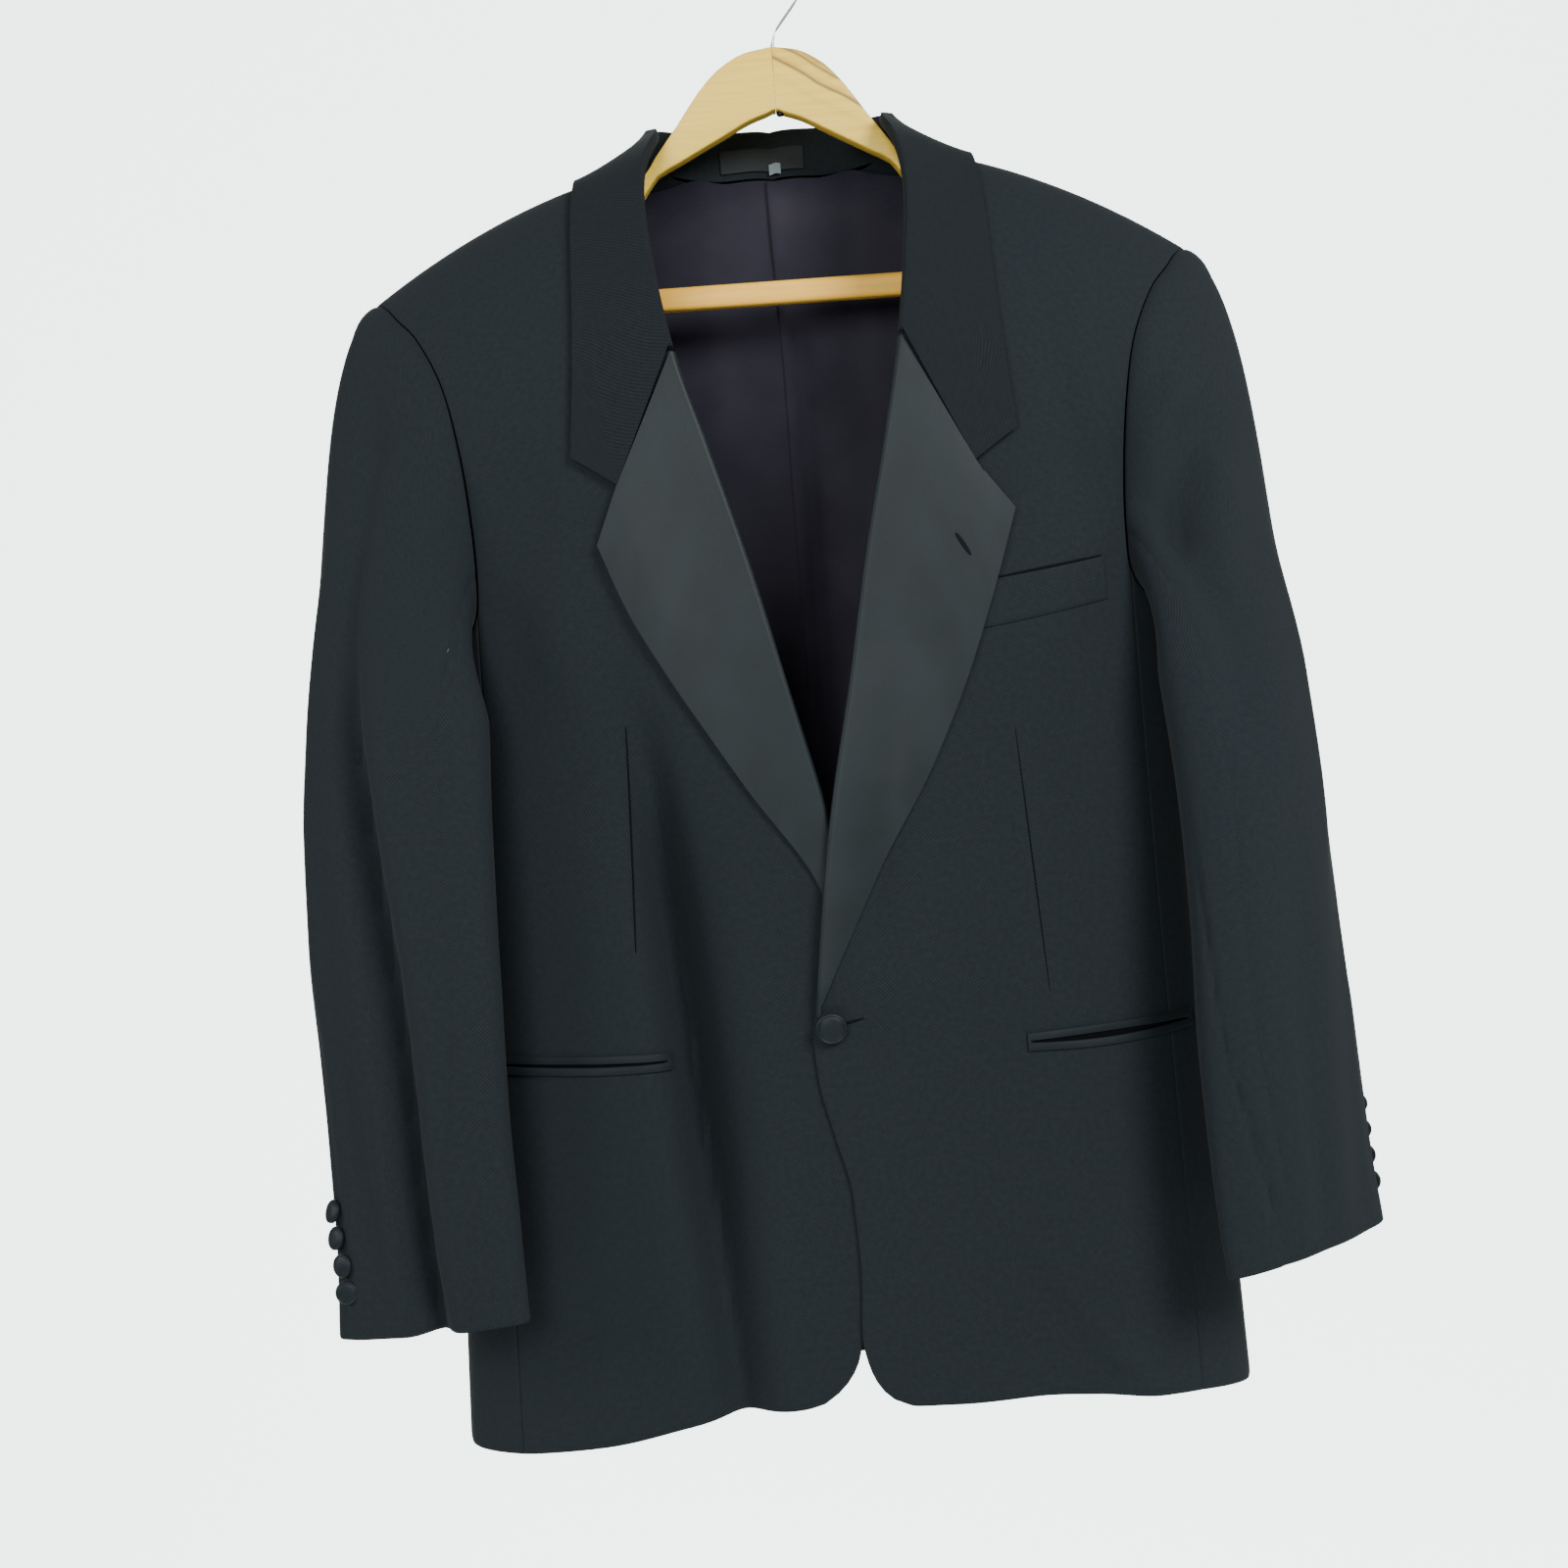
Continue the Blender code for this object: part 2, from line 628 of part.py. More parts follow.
# ---------------------------------------------------------------- sleeves
def armhole_point(i, sign):
    x, z, face, _ = ARMHOLE[i % len(ARMHOLE)]
    if face == 0:
        return side_point(0.0, z, sign), side_normal(0.0, z, sign)
    drop = drop_of(x, z, face)
    if i % len(ARMHOLE) == 0:
        return body_point(x * sign, 0.0, -1), Vector((0.75 * sign, -0.05, 0.66))
    turn = turn_of(x, z, face)
    if z < -0.44:
        return side_point(turn, z, sign), side_normal(turn, z, sign)
    return body_point(x * sign, drop, face), body_normal(x * sign, drop, face)


def sleeve_section(side, z, angle):
    """A point of the sleeve below the arm, at an angle from its outer edge."""
    sign = SIDES[side]
    rows = SLEEVE[side]
    centre_x, centre_y, view, thick, turn = (table_value(rows, z, c) for c in range(1, 6))
    lean = radians(turn)
    long_half = sqrt(view ** 2 - (thick * sin(lean)) ** 2) / cos(lean)
    twist = SEAM_TWIST * ease((-0.62 - z) / 0.24) * (1 - cos(radians(angle))) / 2
    a = radians(angle - twist)
    along = long_half * cos(a)
    depth = thick * sin(a)
    # The outer end leans back, the inner end forward, the front is -Y.
    x = centre_x + along * cos(lean) + depth * sin(lean)
    y = centre_y + along * sin(lean) - depth * cos(lean)
    return Vector((sign * x, y, z))


def sleeve_fold(side, z, angle):
    depth = 0.0
    for row_side, z0, a0, z1, a1, half_width, amount in SLEEVE_FOLDS:
        if row_side != side or z > z0 or z < z1:
            continue
        t = (z0 - z) / (z0 - z1)
        centre = mix(a0, a1, t)
        depth += amount * ease(t / 0.3) * ease((1 - t) / 0.2) * exp(-((angle - centre) / half_width) ** 2)
    return depth


def sleeve_grid(side):
    """Rings of the whole sleeve tube, from the armhole to the cuff."""
    sign = SIDES[side]
    rows = SLEEVE[side]
    join_z = rows[0][0]
    cuff_z = rows[-1][0]
    count = len(ARMHOLE)
    rings = []
    for t in CAP_STEPS:
        ring = []
        for j in range(count):
            start, out = armhole_point(j, sign)
            angle = ARMHOLE[j][3]
            end = sleeve_section(side, join_z, angle)
            below = sleeve_section(side, join_z - 0.05, angle) - sleeve_section(side, join_z, angle)
            reach = (end - start).length
            topness = (1 + cos(radians(angle))) / 2
            leave = out * mix(0.40, 0.0, topness) * reach
            leave += Vector((0.75 * sign, -0.10, -0.42)) * topness * reach * 0.55
            arrive = below.normalized() * reach * mix(0.8, 1.05, topness)
            h00 = 2 * t ** 3 - 3 * t ** 2 + 1
            h10 = t ** 3 - 2 * t ** 2 + t
            h01 = 3 * t ** 2 - 2 * t ** 3
            h11 = t ** 3 - t ** 2
            ring.append(start * h00 + leave * h10 + end * h01 + arrive * h11)
        rings.append(ring)
    for t in fractions(9)[1:]:
        ring = []
        for j in range(count):
            angle = ARMHOLE[j][3]
            z = mix(join_z, cuff_z, t)
            point = sleeve_section(side, z, angle)
            point.z -= CUFF_TILT[side] * (abs(point.x) - rows[-1][1]) * t ** 3
            ring.append(point)
        rings.append(ring)
    return rings


def grid_normals(rings, sign):
    """Normals of a tube from its neighbours, pointing away from its middle."""
    count = len(rings[0])
    normals = []
    for k, ring in enumerate(rings):
        row = []
        for j in range(count):
            along = rings[min(k + 1, len(rings) - 1)][j] - rings[max(k - 1, 0)][j]
            round_ = ring[(j + 1) % count] - ring[j - 1]
            row.append(along.cross(round_).normalized() * -sign)
        normals.append(row)
    return normals


def sleeve_tube(side):
    sign = SIDES[side]
    rings = sleeve_grid(side)
    normals = grid_normals(rings, sign)
    for k, ring in enumerate(rings):
        for j in range(len(ring)):
            depth = sleeve_fold(side, ring[j].z, ARMHOLE[j][3])
            ring[j] = ring[j] - normals[k][j] * depth
    hole_centre = sum(rings[0], Vector()) / len(rings[0])
    rings[0] = [p + (hole_centre - p).normalized() * SEAM_GAP * 1.6 for p in rings[0]]
    return rings, normals


def sleeves(side):
    rings, normals = sleeve_tube(side)
    count = len(ARMHOLE)
    spans = {
        "top_sleeve_": [j % count for j in range(ELBOW_SEAM, FOREARM_SEAM + count + 1)],
        "under_sleeve_": list(range(FOREARM_SEAM, ELBOW_SEAM + 1)),
    }
    for name, columns in spans.items():
        points, norms = [], []
        for ring, normal in zip(rings, normals):
            row = [ring[j].copy() for j in columns]
            row[0] += (ring[columns[1]] - ring[columns[0]]).normalized() * SEAM_GAP * 0.6
            row[-1] += (ring[columns[-2]] - ring[columns[-1]]).normalized() * SEAM_GAP * 0.6
            points.append(row)
            norms.append([normal[j] for j in columns])
        wall(name + side, *skins(points, norms, CLOTH), "wool")


# ---------------------------------------------------------------- lapels and collar
def front_place(side, x, z):
    """Point and normal of the front's outer skin."""
    sign = SIDES[side]
    lifted = side == "left"
    drop = drop_of(x, z, -1)
    return body_point(x * sign, drop, -1, lifted), body_normal(x * sign, drop, -1, lifted)


def lapel_edge(side, t):
    column = 0 if side == "right" else 2
    rows = [(i / (len(LAPEL) - 1), row[column], row[column + 1]) for i, row in enumerate(LAPEL)]
    return table_value(rows, t, 1), table_value(rows, t, 2)


def folded_strip(name, sections, thickness, look):
    """A wall round both sides of the middle line of each section."""
    count = len(sections[0])
    outer, inner = [], []
    for k, section in enumerate(sections):
        before = sections[max(k - 1, 0)]
        after = sections[min(k + 1, len(sections) - 1)]
        outer_row, inner_row = [], []
        for j in range(count):
            along = after[j] - before[j]
            across = section[min(j + 1, count - 1)] - section[max(j - 1, 0)]
            normal = along.cross(across).normalized()
            outer_row.append(section[j] + normal * thickness / 2)
            inner_row.append(section[j] - normal * thickness / 2)
        outer.append(outer_row)
        inner.append(inner_row)
    return wall(name, outer, inner, look)


LAPEL_ROWS = 16
LAPEL_GAP = 0.0007      # the facing's clearance from the front, outside and inside
LAPEL_SHARES = (0.0, 0.30, 0.55, 0.78, 1.0)
FACING = 0.013          # how far the facing shows behind the roll


def lapel(side):
    """Satin facing: inside the front, round its edge, and out over the chest."""
    sections = []
    bottom_z = LAPEL[-1][1 if side == "right" else 3]
    for i in range(LAPEL_ROWS + 1):
        t = i / LAPEL_ROWS
        roll_z = mix(GORGE_Z - 0.0012, bottom_z, t)
        roll_x = opening_x(roll_z, side)
        edge_x, edge_z = lapel_edge(side, t)
        notch_share = 0.78
        outer_mid = []
        proud = mix(0.0048, LAPEL_GAP, ease(t / 0.86 - 0.1)) + SATIN / 2
        seat = LAPEL_GAP + SATIN / 2
        for share in LAPEL_SHARES:
            x, z = mix(roll_x, edge_x, share), mix(roll_z, edge_z, share)
            gorge_x = mix(roll_x, NOTCH[0], min(share / notch_share, 1.0))
            gorge_z = mix(roll_z, NOTCH[1], min(share / notch_share, 1.0))
            if share > notch_share:
                gorge_x = mix(NOTCH[0], edge_x, (share - notch_share) / (1 - notch_share))
                gorge_z = mix(NOTCH[1], edge_z, (share - notch_share) / (1 - notch_share))
            toward_gorge = (1 - t) ** 5
            x, z = mix(x, gorge_x, toward_gorge), mix(z, gorge_z, toward_gorge)
            inset = ROLL_SEAT * (1 - share)
            point, normal = front_place(side, x + inset, z)
            raise_ = mix(seat, proud, ease(share * 1.2)) + 0.0012 * (1 - t) * (1 - share)
            outer_mid.append(point + normal * raise_)
        edge_point, edge_normal = front_place(side, roll_x + ROLL_SEAT, roll_z)
        inward = (front_place(side, roll_x + ROLL_SEAT - 0.002, roll_z)[0] - edge_point).normalized()
        inside_mid = edge_point - edge_normal * (CLOTH + LAPEL_GAP + SATIN / 2)
        deep_point, deep_normal = front_place(side, roll_x + ROLL_SEAT + FACING, roll_z)
        deep = deep_point - deep_normal * (CLOTH + LAPEL_GAP * 1.5 + SATIN / 2)
        high = (outer_mid[0] - inside_mid).length / 2
        middle = (outer_mid[0] + inside_mid) / 2
        up = (outer_mid[0] - inside_mid).normalized()
        fold = [middle + inward * (ROLL_SEAT - SATIN / 2) * sin(a) - up * high * cos(a)
                for a in (pi * 0.22, pi * 0.5, pi * 0.78)]
        sections.append([deep, inside_mid] + fold + outer_mid)
    return folded_strip("lapel_" + side, sections, SATIN, "satin")


def collar_table(side):
    """The collar's rows as (row, seam x and drop, edge x and drop, stand)."""
    rows = []
    for i, (seam_x_, seam_z, edge_x, edge_z, stand, face) in enumerate(COLLAR):
        if face < 0:
            seam_x_ = opening_x(seam_z, side) + ROLL_SEAT
        seam_drop = drop_of(seam_x_, seam_z, face or 1) * face
        edge_drop = drop_of(edge_x, edge_z, face or 1) * face
        rows.append((float(i), seam_x_, seam_drop, edge_x, edge_drop, stand))
    return rows


def collar_rows(side):
    """Finer rows, nape to gorge; a drop is + on the back and - in front."""
    rows = collar_table(side)
    last = len(COLLAR) - 1
    fine = []
    for i in range(last * 2 + 1):
        key = i / 2
        fine.append([table_value(rows, key, c) for c in range(1, 6)] + [key / last])
    return fine


def signed_place(x, drop, sign):
    face = 1 if drop > 0 else -1
    return body_point(x * sign, abs(drop), face), body_normal(x * sign, abs(drop), face)


COLLAR_SHARES = (0.0, 0.16, 0.36, 0.56, 0.76, 1.0)
NOTCH_SHARE = 0.76      # the notch's place between the roll and the collar's point
COLLAR_CLOTH = 0.0018


def stand_frame(seam, normal, along):
    """Foot of the stand's middle line, the way that it rises, and the way into the neck."""
    lean = mix(0.10, 1.0, ease((along - 0.45) / 0.5))
    rise = (Vector((0, 0, 1)) * (1 - lean) + normal * lean).normalized()
    inward = (Vector((0, min(seam.y, -0.02), seam.z)) - seam).normalized()
    low = seam + inward * (COLLAR_CLOTH / 2 + SEAM_GAP * 2.5) - normal * SEAM_GAP
    low.z += 0.0014 * (1 - ease((along - 0.25) / 0.15))
    return low, rise, inward


def collar_section(row, sign):
    """Middle line of the folded collar: up the stand, over, and down the fall."""
    seam_x_, seam_drop, edge_x, edge_drop, stand, along = row
    seam, normal = signed_place(seam_x_, seam_drop, sign)
    low, rise, _ = stand_frame(seam, normal, along)
    stand_points = [low, low + rise * stand * 0.5, low + rise * stand * 0.92]
    notch_drop = -drop_of(NOTCH[0], NOTCH[1] + 0.0020, -1)
    bend = ease((along - 0.90) / 0.10)
    fall = []
    for share in COLLAR_SHARES:
        x, drop = mix(seam_x_, edge_x, share), mix(seam_drop, edge_drop, share)
        if share <= NOTCH_SHARE:
            bent_x = mix(seam_x_, NOTCH[0], share / NOTCH_SHARE)
            bent_drop = mix(seam_drop, notch_drop, share / NOTCH_SHARE)
        else:
            beyond = (share - NOTCH_SHARE) / (1 - NOTCH_SHARE)
            bent_x, bent_drop = mix(NOTCH[0], edge_x, beyond), mix(notch_drop, edge_drop, beyond)
        place, out = signed_place(mix(x, bent_x, bend), mix(drop, bent_drop, bend), sign)
        proud = mix(0.0032, 0.0042, ease(share))
        fall.append(place + out * proud + rise * stand * (1 - share) ** 1.8)
    crest = (stand_points[-1] + fall[0]) / 2 + rise * (stand * 0.08 + 0.0012)
    return stand_points + [crest] + fall


def collar():
    right = [collar_section(row, SIDES["right"]) for row in reversed(collar_rows("right"))]
    left = [collar_section(row, SIDES["left"]) for row in collar_rows("left")[1:]]
    return folded_strip("collar", right + left, COLLAR_CLOTH, "collar_wool")


# ---------------------------------------------------------------- inside
LINING_BOTTOM_Z = -0.7000
LINING_HALF_WIDTH = 0.1900
LINING_SET = 0.0020     # how far its top edge hangs below the collar's seam
LABEL_CLOTH = 0.0010
LABEL_ENDS = (-0.0360, 0.0230)      # along the neck, from the centre back
LABEL_SHARES = (0.72, 0.33)         # up the stand
PLEAT_WIDTH = 0.0090
PLEAT_DEPTH = 0.0040


def lining():
    """Back lining, seen through the neck: a pleat along the centre of the back."""
    half = (0.0095, 0.0300, 0.0600, 0.0885, 0.1180, 0.1470, LINING_HALF_WIDTH)
    places = [-x for x in reversed(half)] + [0.0] + list(half)
    tops = [(x, drop_of(x, z, 1) + LINING_SET) for x, z in ((row[0], row[1]) for row in COLLAR[:3])]
    tops += [(0.100, 0.0320), (0.190, 0.0360)]
    points, normals = [], []
    for step in fractions(12):
        t = step ** 1.7
        row, row_normals = [], []
        for x in places:
            top_z = height_of(x, table_value(tops, abs(x), 1), 1)[0]
            z = mix(top_z, LINING_BOTTOM_Z, t)
            drop = drop_of(x, z, 1)
            pleat = PLEAT_DEPTH * exp(-(x / PLEAT_WIDTH) ** 2) * (1 - 0.5 * t)
            slack = mix(0.0010, 0.0028, ease(t * 3)) + 0.0008 * exp(-((abs(x) - 0.07) / 0.02) ** 2)
            normal = body_normal(x, drop, 1)
            row.append(body_point(x, drop, 1) - normal * (CLOTH + LAY_GAP + pleat + slack))
            row_normals.append(normal)
        points.append(row)
        normals.append(row_normals)
    return wall("back_lining", *skins(points, normals, THIN), "lining")


def stand_place(x, share):
    """A place on the inside of the collar's stand behind the neck, and the way it faces."""
    keys = [(row[0], i) for i, row in enumerate(COLLAR[:3])]
    key = table_value(keys, abs(x), 1)
    row = [table_value(collar_table("left"), key, c) for c in range(1, 6)]
    seam, normal = signed_place(row[0], row[1], 1 if x > 0 else -1)
    low, rise, inward = stand_frame(seam, normal, 0.0)
    return low + rise * row[4] * share, inward


def neck_label():
    """A plain woven label on the inside of the collar's stand."""
    outer, inner = [], []
    for share in LABEL_SHARES:
        outer_row, inner_row = [], []
        for u in fractions(6):
            place, facing = stand_place(mix(*LABEL_ENDS, u), share)
            rest = COLLAR_CLOTH / 2 + LAY_GAP + 0.0002
            outer_row.append(place + facing * (rest + LABEL_CLOTH))
            inner_row.append(place + facing * rest)
        outer.append(outer_row)
        inner.append(inner_row)
    return wall("neck_label", outer, inner, "label")


# ---------------------------------------------------------------- small pieces on the cloth
def patch(name, side, corners, columns, look, lift):
    """A piece that lies on the front, between four corners clockwise from upper inner."""
    outer, inner = [], []
    for v in (0.0, 1.0):
        outer_row, inner_row = [], []
        for i in range(columns + 1):
            u = i / columns
            top = [mix(corners[0][k], corners[1][k], u) for k in (0, 1)]
            low = [mix(corners[3][k], corners[2][k], u) for k in (0, 1)]
            x = mix(top[0], low[0], v)
            z = mix(top[1], low[1], v)
            point, normal = front_place(side, x, z)
            outer_row.append(point + normal * (lift + SATIN))
            inner_row.append(point + normal * lift)
        outer.append(outer_row)
        inner.append(inner_row)
    return wall(name, outer, inner, look)


def hip_jets(side, x0, z0, x1, z1, sag):
    """Two satin jets round the mouth of a hip pocket, joined at its ends; the lower one sags."""
    lift = 0.0007
    height = JET_WIDTH * 2 + JET_MOUTH
    steps = fractions(12)
    loop = [(u, 0) for u in steps] + [(u, 1) for u in reversed(steps)]
    outer, inner = [], []
    for inset, low_share in ((0.0, 1.0), (JET_END, (JET_WIDTH + JET_MOUTH) / height)):
        outer_row, inner_row = [], []
        for u, low in loop:
            across = mix(inset, 1 - inset, u)
            share = low_share if low else 1 - low_share
            z = mix(z0, z1, across) - height * share - low * sag * sin(pi * u)
            point, normal = front_place(side, mix(x0, x1, across), z)
            outer_row.append(point + normal * (lift + SATIN))
            inner_row.append(point + normal * lift)
        outer.append(outer_row)
        inner.append(inner_row)
    return wall("hip_jets_" + side, outer, inner, "satin", ring=True)


def turned(name, profile, place, axis, look, steps=14):
    """A turned piece: profile of (radius, height), its base at place, along axis."""
    mesh = bpy.data.meshes.new(name)
    mesh.from_pydata([(r, 0.0, h) for r, h in profile], [(i, i + 1) for i in range(len(profile) - 1)], [])
    made = add_object(name, mesh, look)
    made.location = place
    made.rotation_mode = "QUATERNION"
    made.rotation_quaternion = Vector((0, 0, 1)).rotation_difference(axis)
    screw = made.modifiers.new("turn", "SCREW")
    screw.steps = steps
    screw.render_steps = steps
    screw.use_merge_vertices = True
    screw.merge_threshold = 0.00005
    return made


def button(name, radius, place, axis):
    """A button covered with cloth, domed, its shank hidden in the cloth."""
    high = radius * 0.42
    profile = ((0.0, high), (radius * 0.55, high * 0.93), (radius * 0.9, high * 0.66),
               (radius, high * 0.36), (radius * 0.86, 0.0), (SHANK, 0.0), (SHANK, -SHANK), (0.0, -SHANK))
    return turned(name, profile, place + axis * (LAY_GAP + SHANK), axis, "satin")


def buttons():
    place, normal = front_place("left", BUTTON_X, BUTTON_Z)
    button("front_button", BUTTON_RADIUS, place + normal * 0.0002, normal)
    for side in SIDES:
        rings, normals = sleeve_tube(side)
        column = BUTTON_COLUMN
        for i in range(4):
            z = CUFF_BUTTON_Z[side] - i * CUFF_BUTTON_PITCH
            for k in range(len(rings) - 1):
                upper, lower = rings[k][column], rings[k + 1][column]
                if upper.z >= z >= lower.z:
                    share = (upper.z - z) / (upper.z - lower.z)
                    place = upper.lerp(lower, share)
                    axis = normals[k][column].lerp(normals[k + 1][column], share).normalized()
                    button("cuff_button_%s_%d" % (side, i + 1), CUFF_BUTTON_RADIUS,
                           place, axis)


# ---------------------------------------------------------------- hanger
def arm_outline(sign):
    """One arm in x and z, from the middle outward: its top edge and its underside."""
    top = [(x, high) for x, high, _ in HANGER]
    under = [(x, low) for x, _, low in HANGER]
    for x in (0.100, 0.125, 0.150, 0.175, HANGER_END_X - 0.012):
        seat = shoulder_z(x) - CLOTH - 0.0012
        top.append((x, seat - (0.003 if x < 0.11 else 0.0)))
        if x < 0.170:
            under.append((x, seat - HANGER_DEPTH - 0.001))
    end_z = BAR_TOP_Z - BAR_HEIGHT - 0.004
    top.append((HANGER_END_X, shoulder_z(HANGER_END_X) - 0.0100))
    top.append((HANGER_END_X + 0.001, -0.2150))
    top.append((HANGER_END_X - 0.008, end_z))
    under.append((BAR_END_X + 0.0005, BAR_TOP_Z + 0.0060))
    under.append((BAR_END_X + 0.0005, BAR_TOP_Z - BAR_HEIGHT))
    under.append((BAR_END_X + 0.0060, end_z))
    return [[(sign * x + HANGER_SHIFT * max(1 - x / 0.1, 0.0), z) for x, z in line] for line in (top, under)]


def hanger_arms():
    """Both arms, cut from board, their long edges rounded; they meet at the hook."""
    (top_right, under_right), (top_left, under_left) = arm_outline(-1), arm_outline(1)
    outline = top_right[:0:-1] + top_left + under_left[::-1] + under_right[1:]
    count = len(outline)
    work = bmesh.new()
    boards = [[work.verts.new((x, y, z)) for x, z in outline]
              for y in (-HANGER_THICKNESS / 2, HANGER_THICKNESS / 2)]
    for board in boards:
        work.faces.new(board)
    for i in range(count):
        j = (i + 1) % count
        work.faces.new((boards[0][i], boards[0][j], boards[1][j], boards[1][i]))
    rim = [e for e in work.edges if abs(e.verts[0].co.y - e.verts[1].co.y) < 0.001]
    bmesh.ops.recalc_face_normals(work, faces=work.faces)
    bmesh.ops.bevel(work, geom=rim, offset=HANGER_EASE, offset_type="OFFSET", segments=2,
                    profile=0.5, affect="EDGES", clamp_overlap=False)
    bmesh.ops.triangulate(work, faces=[f for f in work.faces if len(f.verts) > 4])
    mesh = bpy.data.meshes.new("hanger_arms")
    work.to_mesh(mesh)
    work.free()
    mesh.shade_smooth()
    mesh.set_sharp_from_angle(angle=radians(40))
    return add_object("hanger_arms", mesh, "wood")


def hanger_bar():
    mesh = bpy.data.meshes.new("hanger_bar")
    work = bmesh.new()
    bmesh.ops.create_cube(work, size=1.0)
    bmesh.ops.scale(work, vec=(BAR_END_X * 2, BAR_THICKNESS, BAR_HEIGHT), verts=work.verts)
    bmesh.ops.translate(work, vec=(0, 0, BAR_TOP_Z - BAR_HEIGHT / 2), verts=work.verts)
    work.to_mesh(mesh)
    work.free()
    made = add_object("hanger_bar", mesh, "wood")
    bevel = made.modifiers.new("eased edges", "BEVEL")
    bevel.width = 0.0015
    bevel.segments = 2
    return made


def hook():
    """Steel wire: up out of the wood, leaning, then over into a half round."""
    wire_radius = HOOK_RADIUS + HOOK_WIRE / 2
    foot = HANGER[0][1] + 0.0004
    centre_z = -HOOK_RADIUS
    stem = [(HANGER_SHIFT, foot), (0.0058, foot + 0.006), (0.0095, foot + 0.0135), (0.0150, foot + 0.0210)]
    arc = []
    for degrees in range(-38, 201, 14):
        a = radians(degrees)
        arc.append((wire_radius * cos(a), centre_z + wire_radius * sin(a)))
    data = bpy.data.curves.new("hook", "CURVE")
    data.dimensions = "3D"
    data.bevel_depth = HOOK_WIRE / 2
    data.bevel_resolution = 2
    data.use_fill_caps = True
    spline = data.splines.new("POLY")
    path = stem + arc
    spline.points.add(len(path) - 1)
    for point, (x, z) in zip(spline.points, path):
        point.co = (x, 0.0, z, 1.0)
    data.materials.append(material("hook", *LOOKS["steel"]))
    made = bpy.data.objects.new("hook", data)
    collection.objects.link(made)
    return made


# ---------------------------------------------------------------- the whole
def build():
    for old in list(bpy.data.objects):
        bpy.data.objects.remove(old)
    bpy.context.scene.collection.children.link(collection)
    for side in SIDES:
        front_panel(side)
        back_panel(side)
        side_panel(side)
        sleeves(side)
        lapel(side)
    collar()
    lining()
    neck_label()
    patch("breast_welt", "left", BREAST_WELT, 12, "wool", 0.0008)
    for row in JETS:
        hip_jets(*row)
    buttons()
    hanger_arms()
    hanger_bar()
    hook()


build()
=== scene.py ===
# %% [markdown]
# # A dinner jacket on its hanger
# The real thing is sewn from flat pieces of black wool: two fronts, two side panels, two
# halves of the back, and two sleeves of two pieces each.  Satin faces the lapels and pipes
# the pockets, and a wooden hanger with a bar carries it all.  We build it in that order,
# each piece as its own sheet of cloth.  The metre is the unit, +Z is up, -Y is the
# jacket's front, and +X is the wearer's left.

import json
from bisect import bisect_right
from math import acos, atan2, cos, exp, pi, radians, sin, sqrt

import bmesh
import bpy
from mathutils import Matrix, Vector

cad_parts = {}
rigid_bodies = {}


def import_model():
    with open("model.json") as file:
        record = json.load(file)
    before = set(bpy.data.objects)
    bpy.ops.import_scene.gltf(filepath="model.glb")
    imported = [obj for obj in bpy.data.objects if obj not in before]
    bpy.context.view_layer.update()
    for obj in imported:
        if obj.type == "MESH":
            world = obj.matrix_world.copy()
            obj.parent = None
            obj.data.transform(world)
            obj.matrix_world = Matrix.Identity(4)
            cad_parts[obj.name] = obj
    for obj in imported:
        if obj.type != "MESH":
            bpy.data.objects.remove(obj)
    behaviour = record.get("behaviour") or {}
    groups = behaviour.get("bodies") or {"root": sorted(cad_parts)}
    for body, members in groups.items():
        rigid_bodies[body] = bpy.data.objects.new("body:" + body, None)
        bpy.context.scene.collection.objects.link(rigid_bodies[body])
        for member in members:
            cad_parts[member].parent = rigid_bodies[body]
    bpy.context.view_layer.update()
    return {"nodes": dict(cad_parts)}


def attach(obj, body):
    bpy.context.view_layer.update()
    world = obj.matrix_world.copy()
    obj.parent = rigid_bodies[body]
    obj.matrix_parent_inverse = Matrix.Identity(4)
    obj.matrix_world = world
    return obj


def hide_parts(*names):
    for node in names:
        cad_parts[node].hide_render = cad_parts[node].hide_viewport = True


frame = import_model()

# %% [markdown]
# ## Sizes
# A cutter starts from a few measured sizes.  Wool with its interlining is 2 mm thick,
# satin and lining are thinner, and pieces that meet at a seam keep a hair's gap, which
# the eye reads as the seam line.

# %% Cloth and seam sizes
CLOTH = 0.0020          # body and sleeve cloth with its interlining
SATIN = 0.0014          # lapel facing, welts and jets
THIN = 0.0011           # lining
SEAM_GAP = 0.0004       # between two sewn pieces
BODY_GAP = SEAM_GAP * 0.15      # from a long seam of the body to the cloth beside it
LAY_GAP = 0.0004        # between a piece and the cloth that it lies on

print("wool", CLOTH * 1000, "mm, satin", SATIN * 1000, "mm")

# %% [markdown]
# ## Smooth curves through short tables
# The shape of a hanging jacket changes slowly, so a few measured rows say it all.  This
# helper reads a value between two rows without overshooting, as a flexible ruler would
# lie through the points.

# %% Read a table smoothly
def table_value(table, key, column):
    """Smooth value of a column at a key of the first column, which rises or falls."""
    keys = [row[0] for row in table]
    values = [row[column] for row in table]
    if keys[0] > keys[-1]:
        keys = [-k for k in keys]
        key = -key
    if key <= keys[0]:
        return values[0]
    if key >= keys[-1]:
        return values[-1]
    i = bisect_right(keys, key) - 1
    slope = [(values[j + 1] - values[j]) / (keys[j + 1] - keys[j]) for j in range(len(keys) - 1)]

    def tangent(j):
        if j == 0:
            return slope[0]
        if j == len(keys) - 1:
            return slope[-1]
        if slope[j - 1] * slope[j] <= 0:
            return 0.0
        return 2 * slope[j - 1] * slope[j] / (slope[j - 1] + slope[j])

    span = keys[i + 1] - keys[i]
    return hermite(values[i], span * tangent(i), values[i + 1], span * tangent(i + 1),
                   (key - keys[i]) / span)


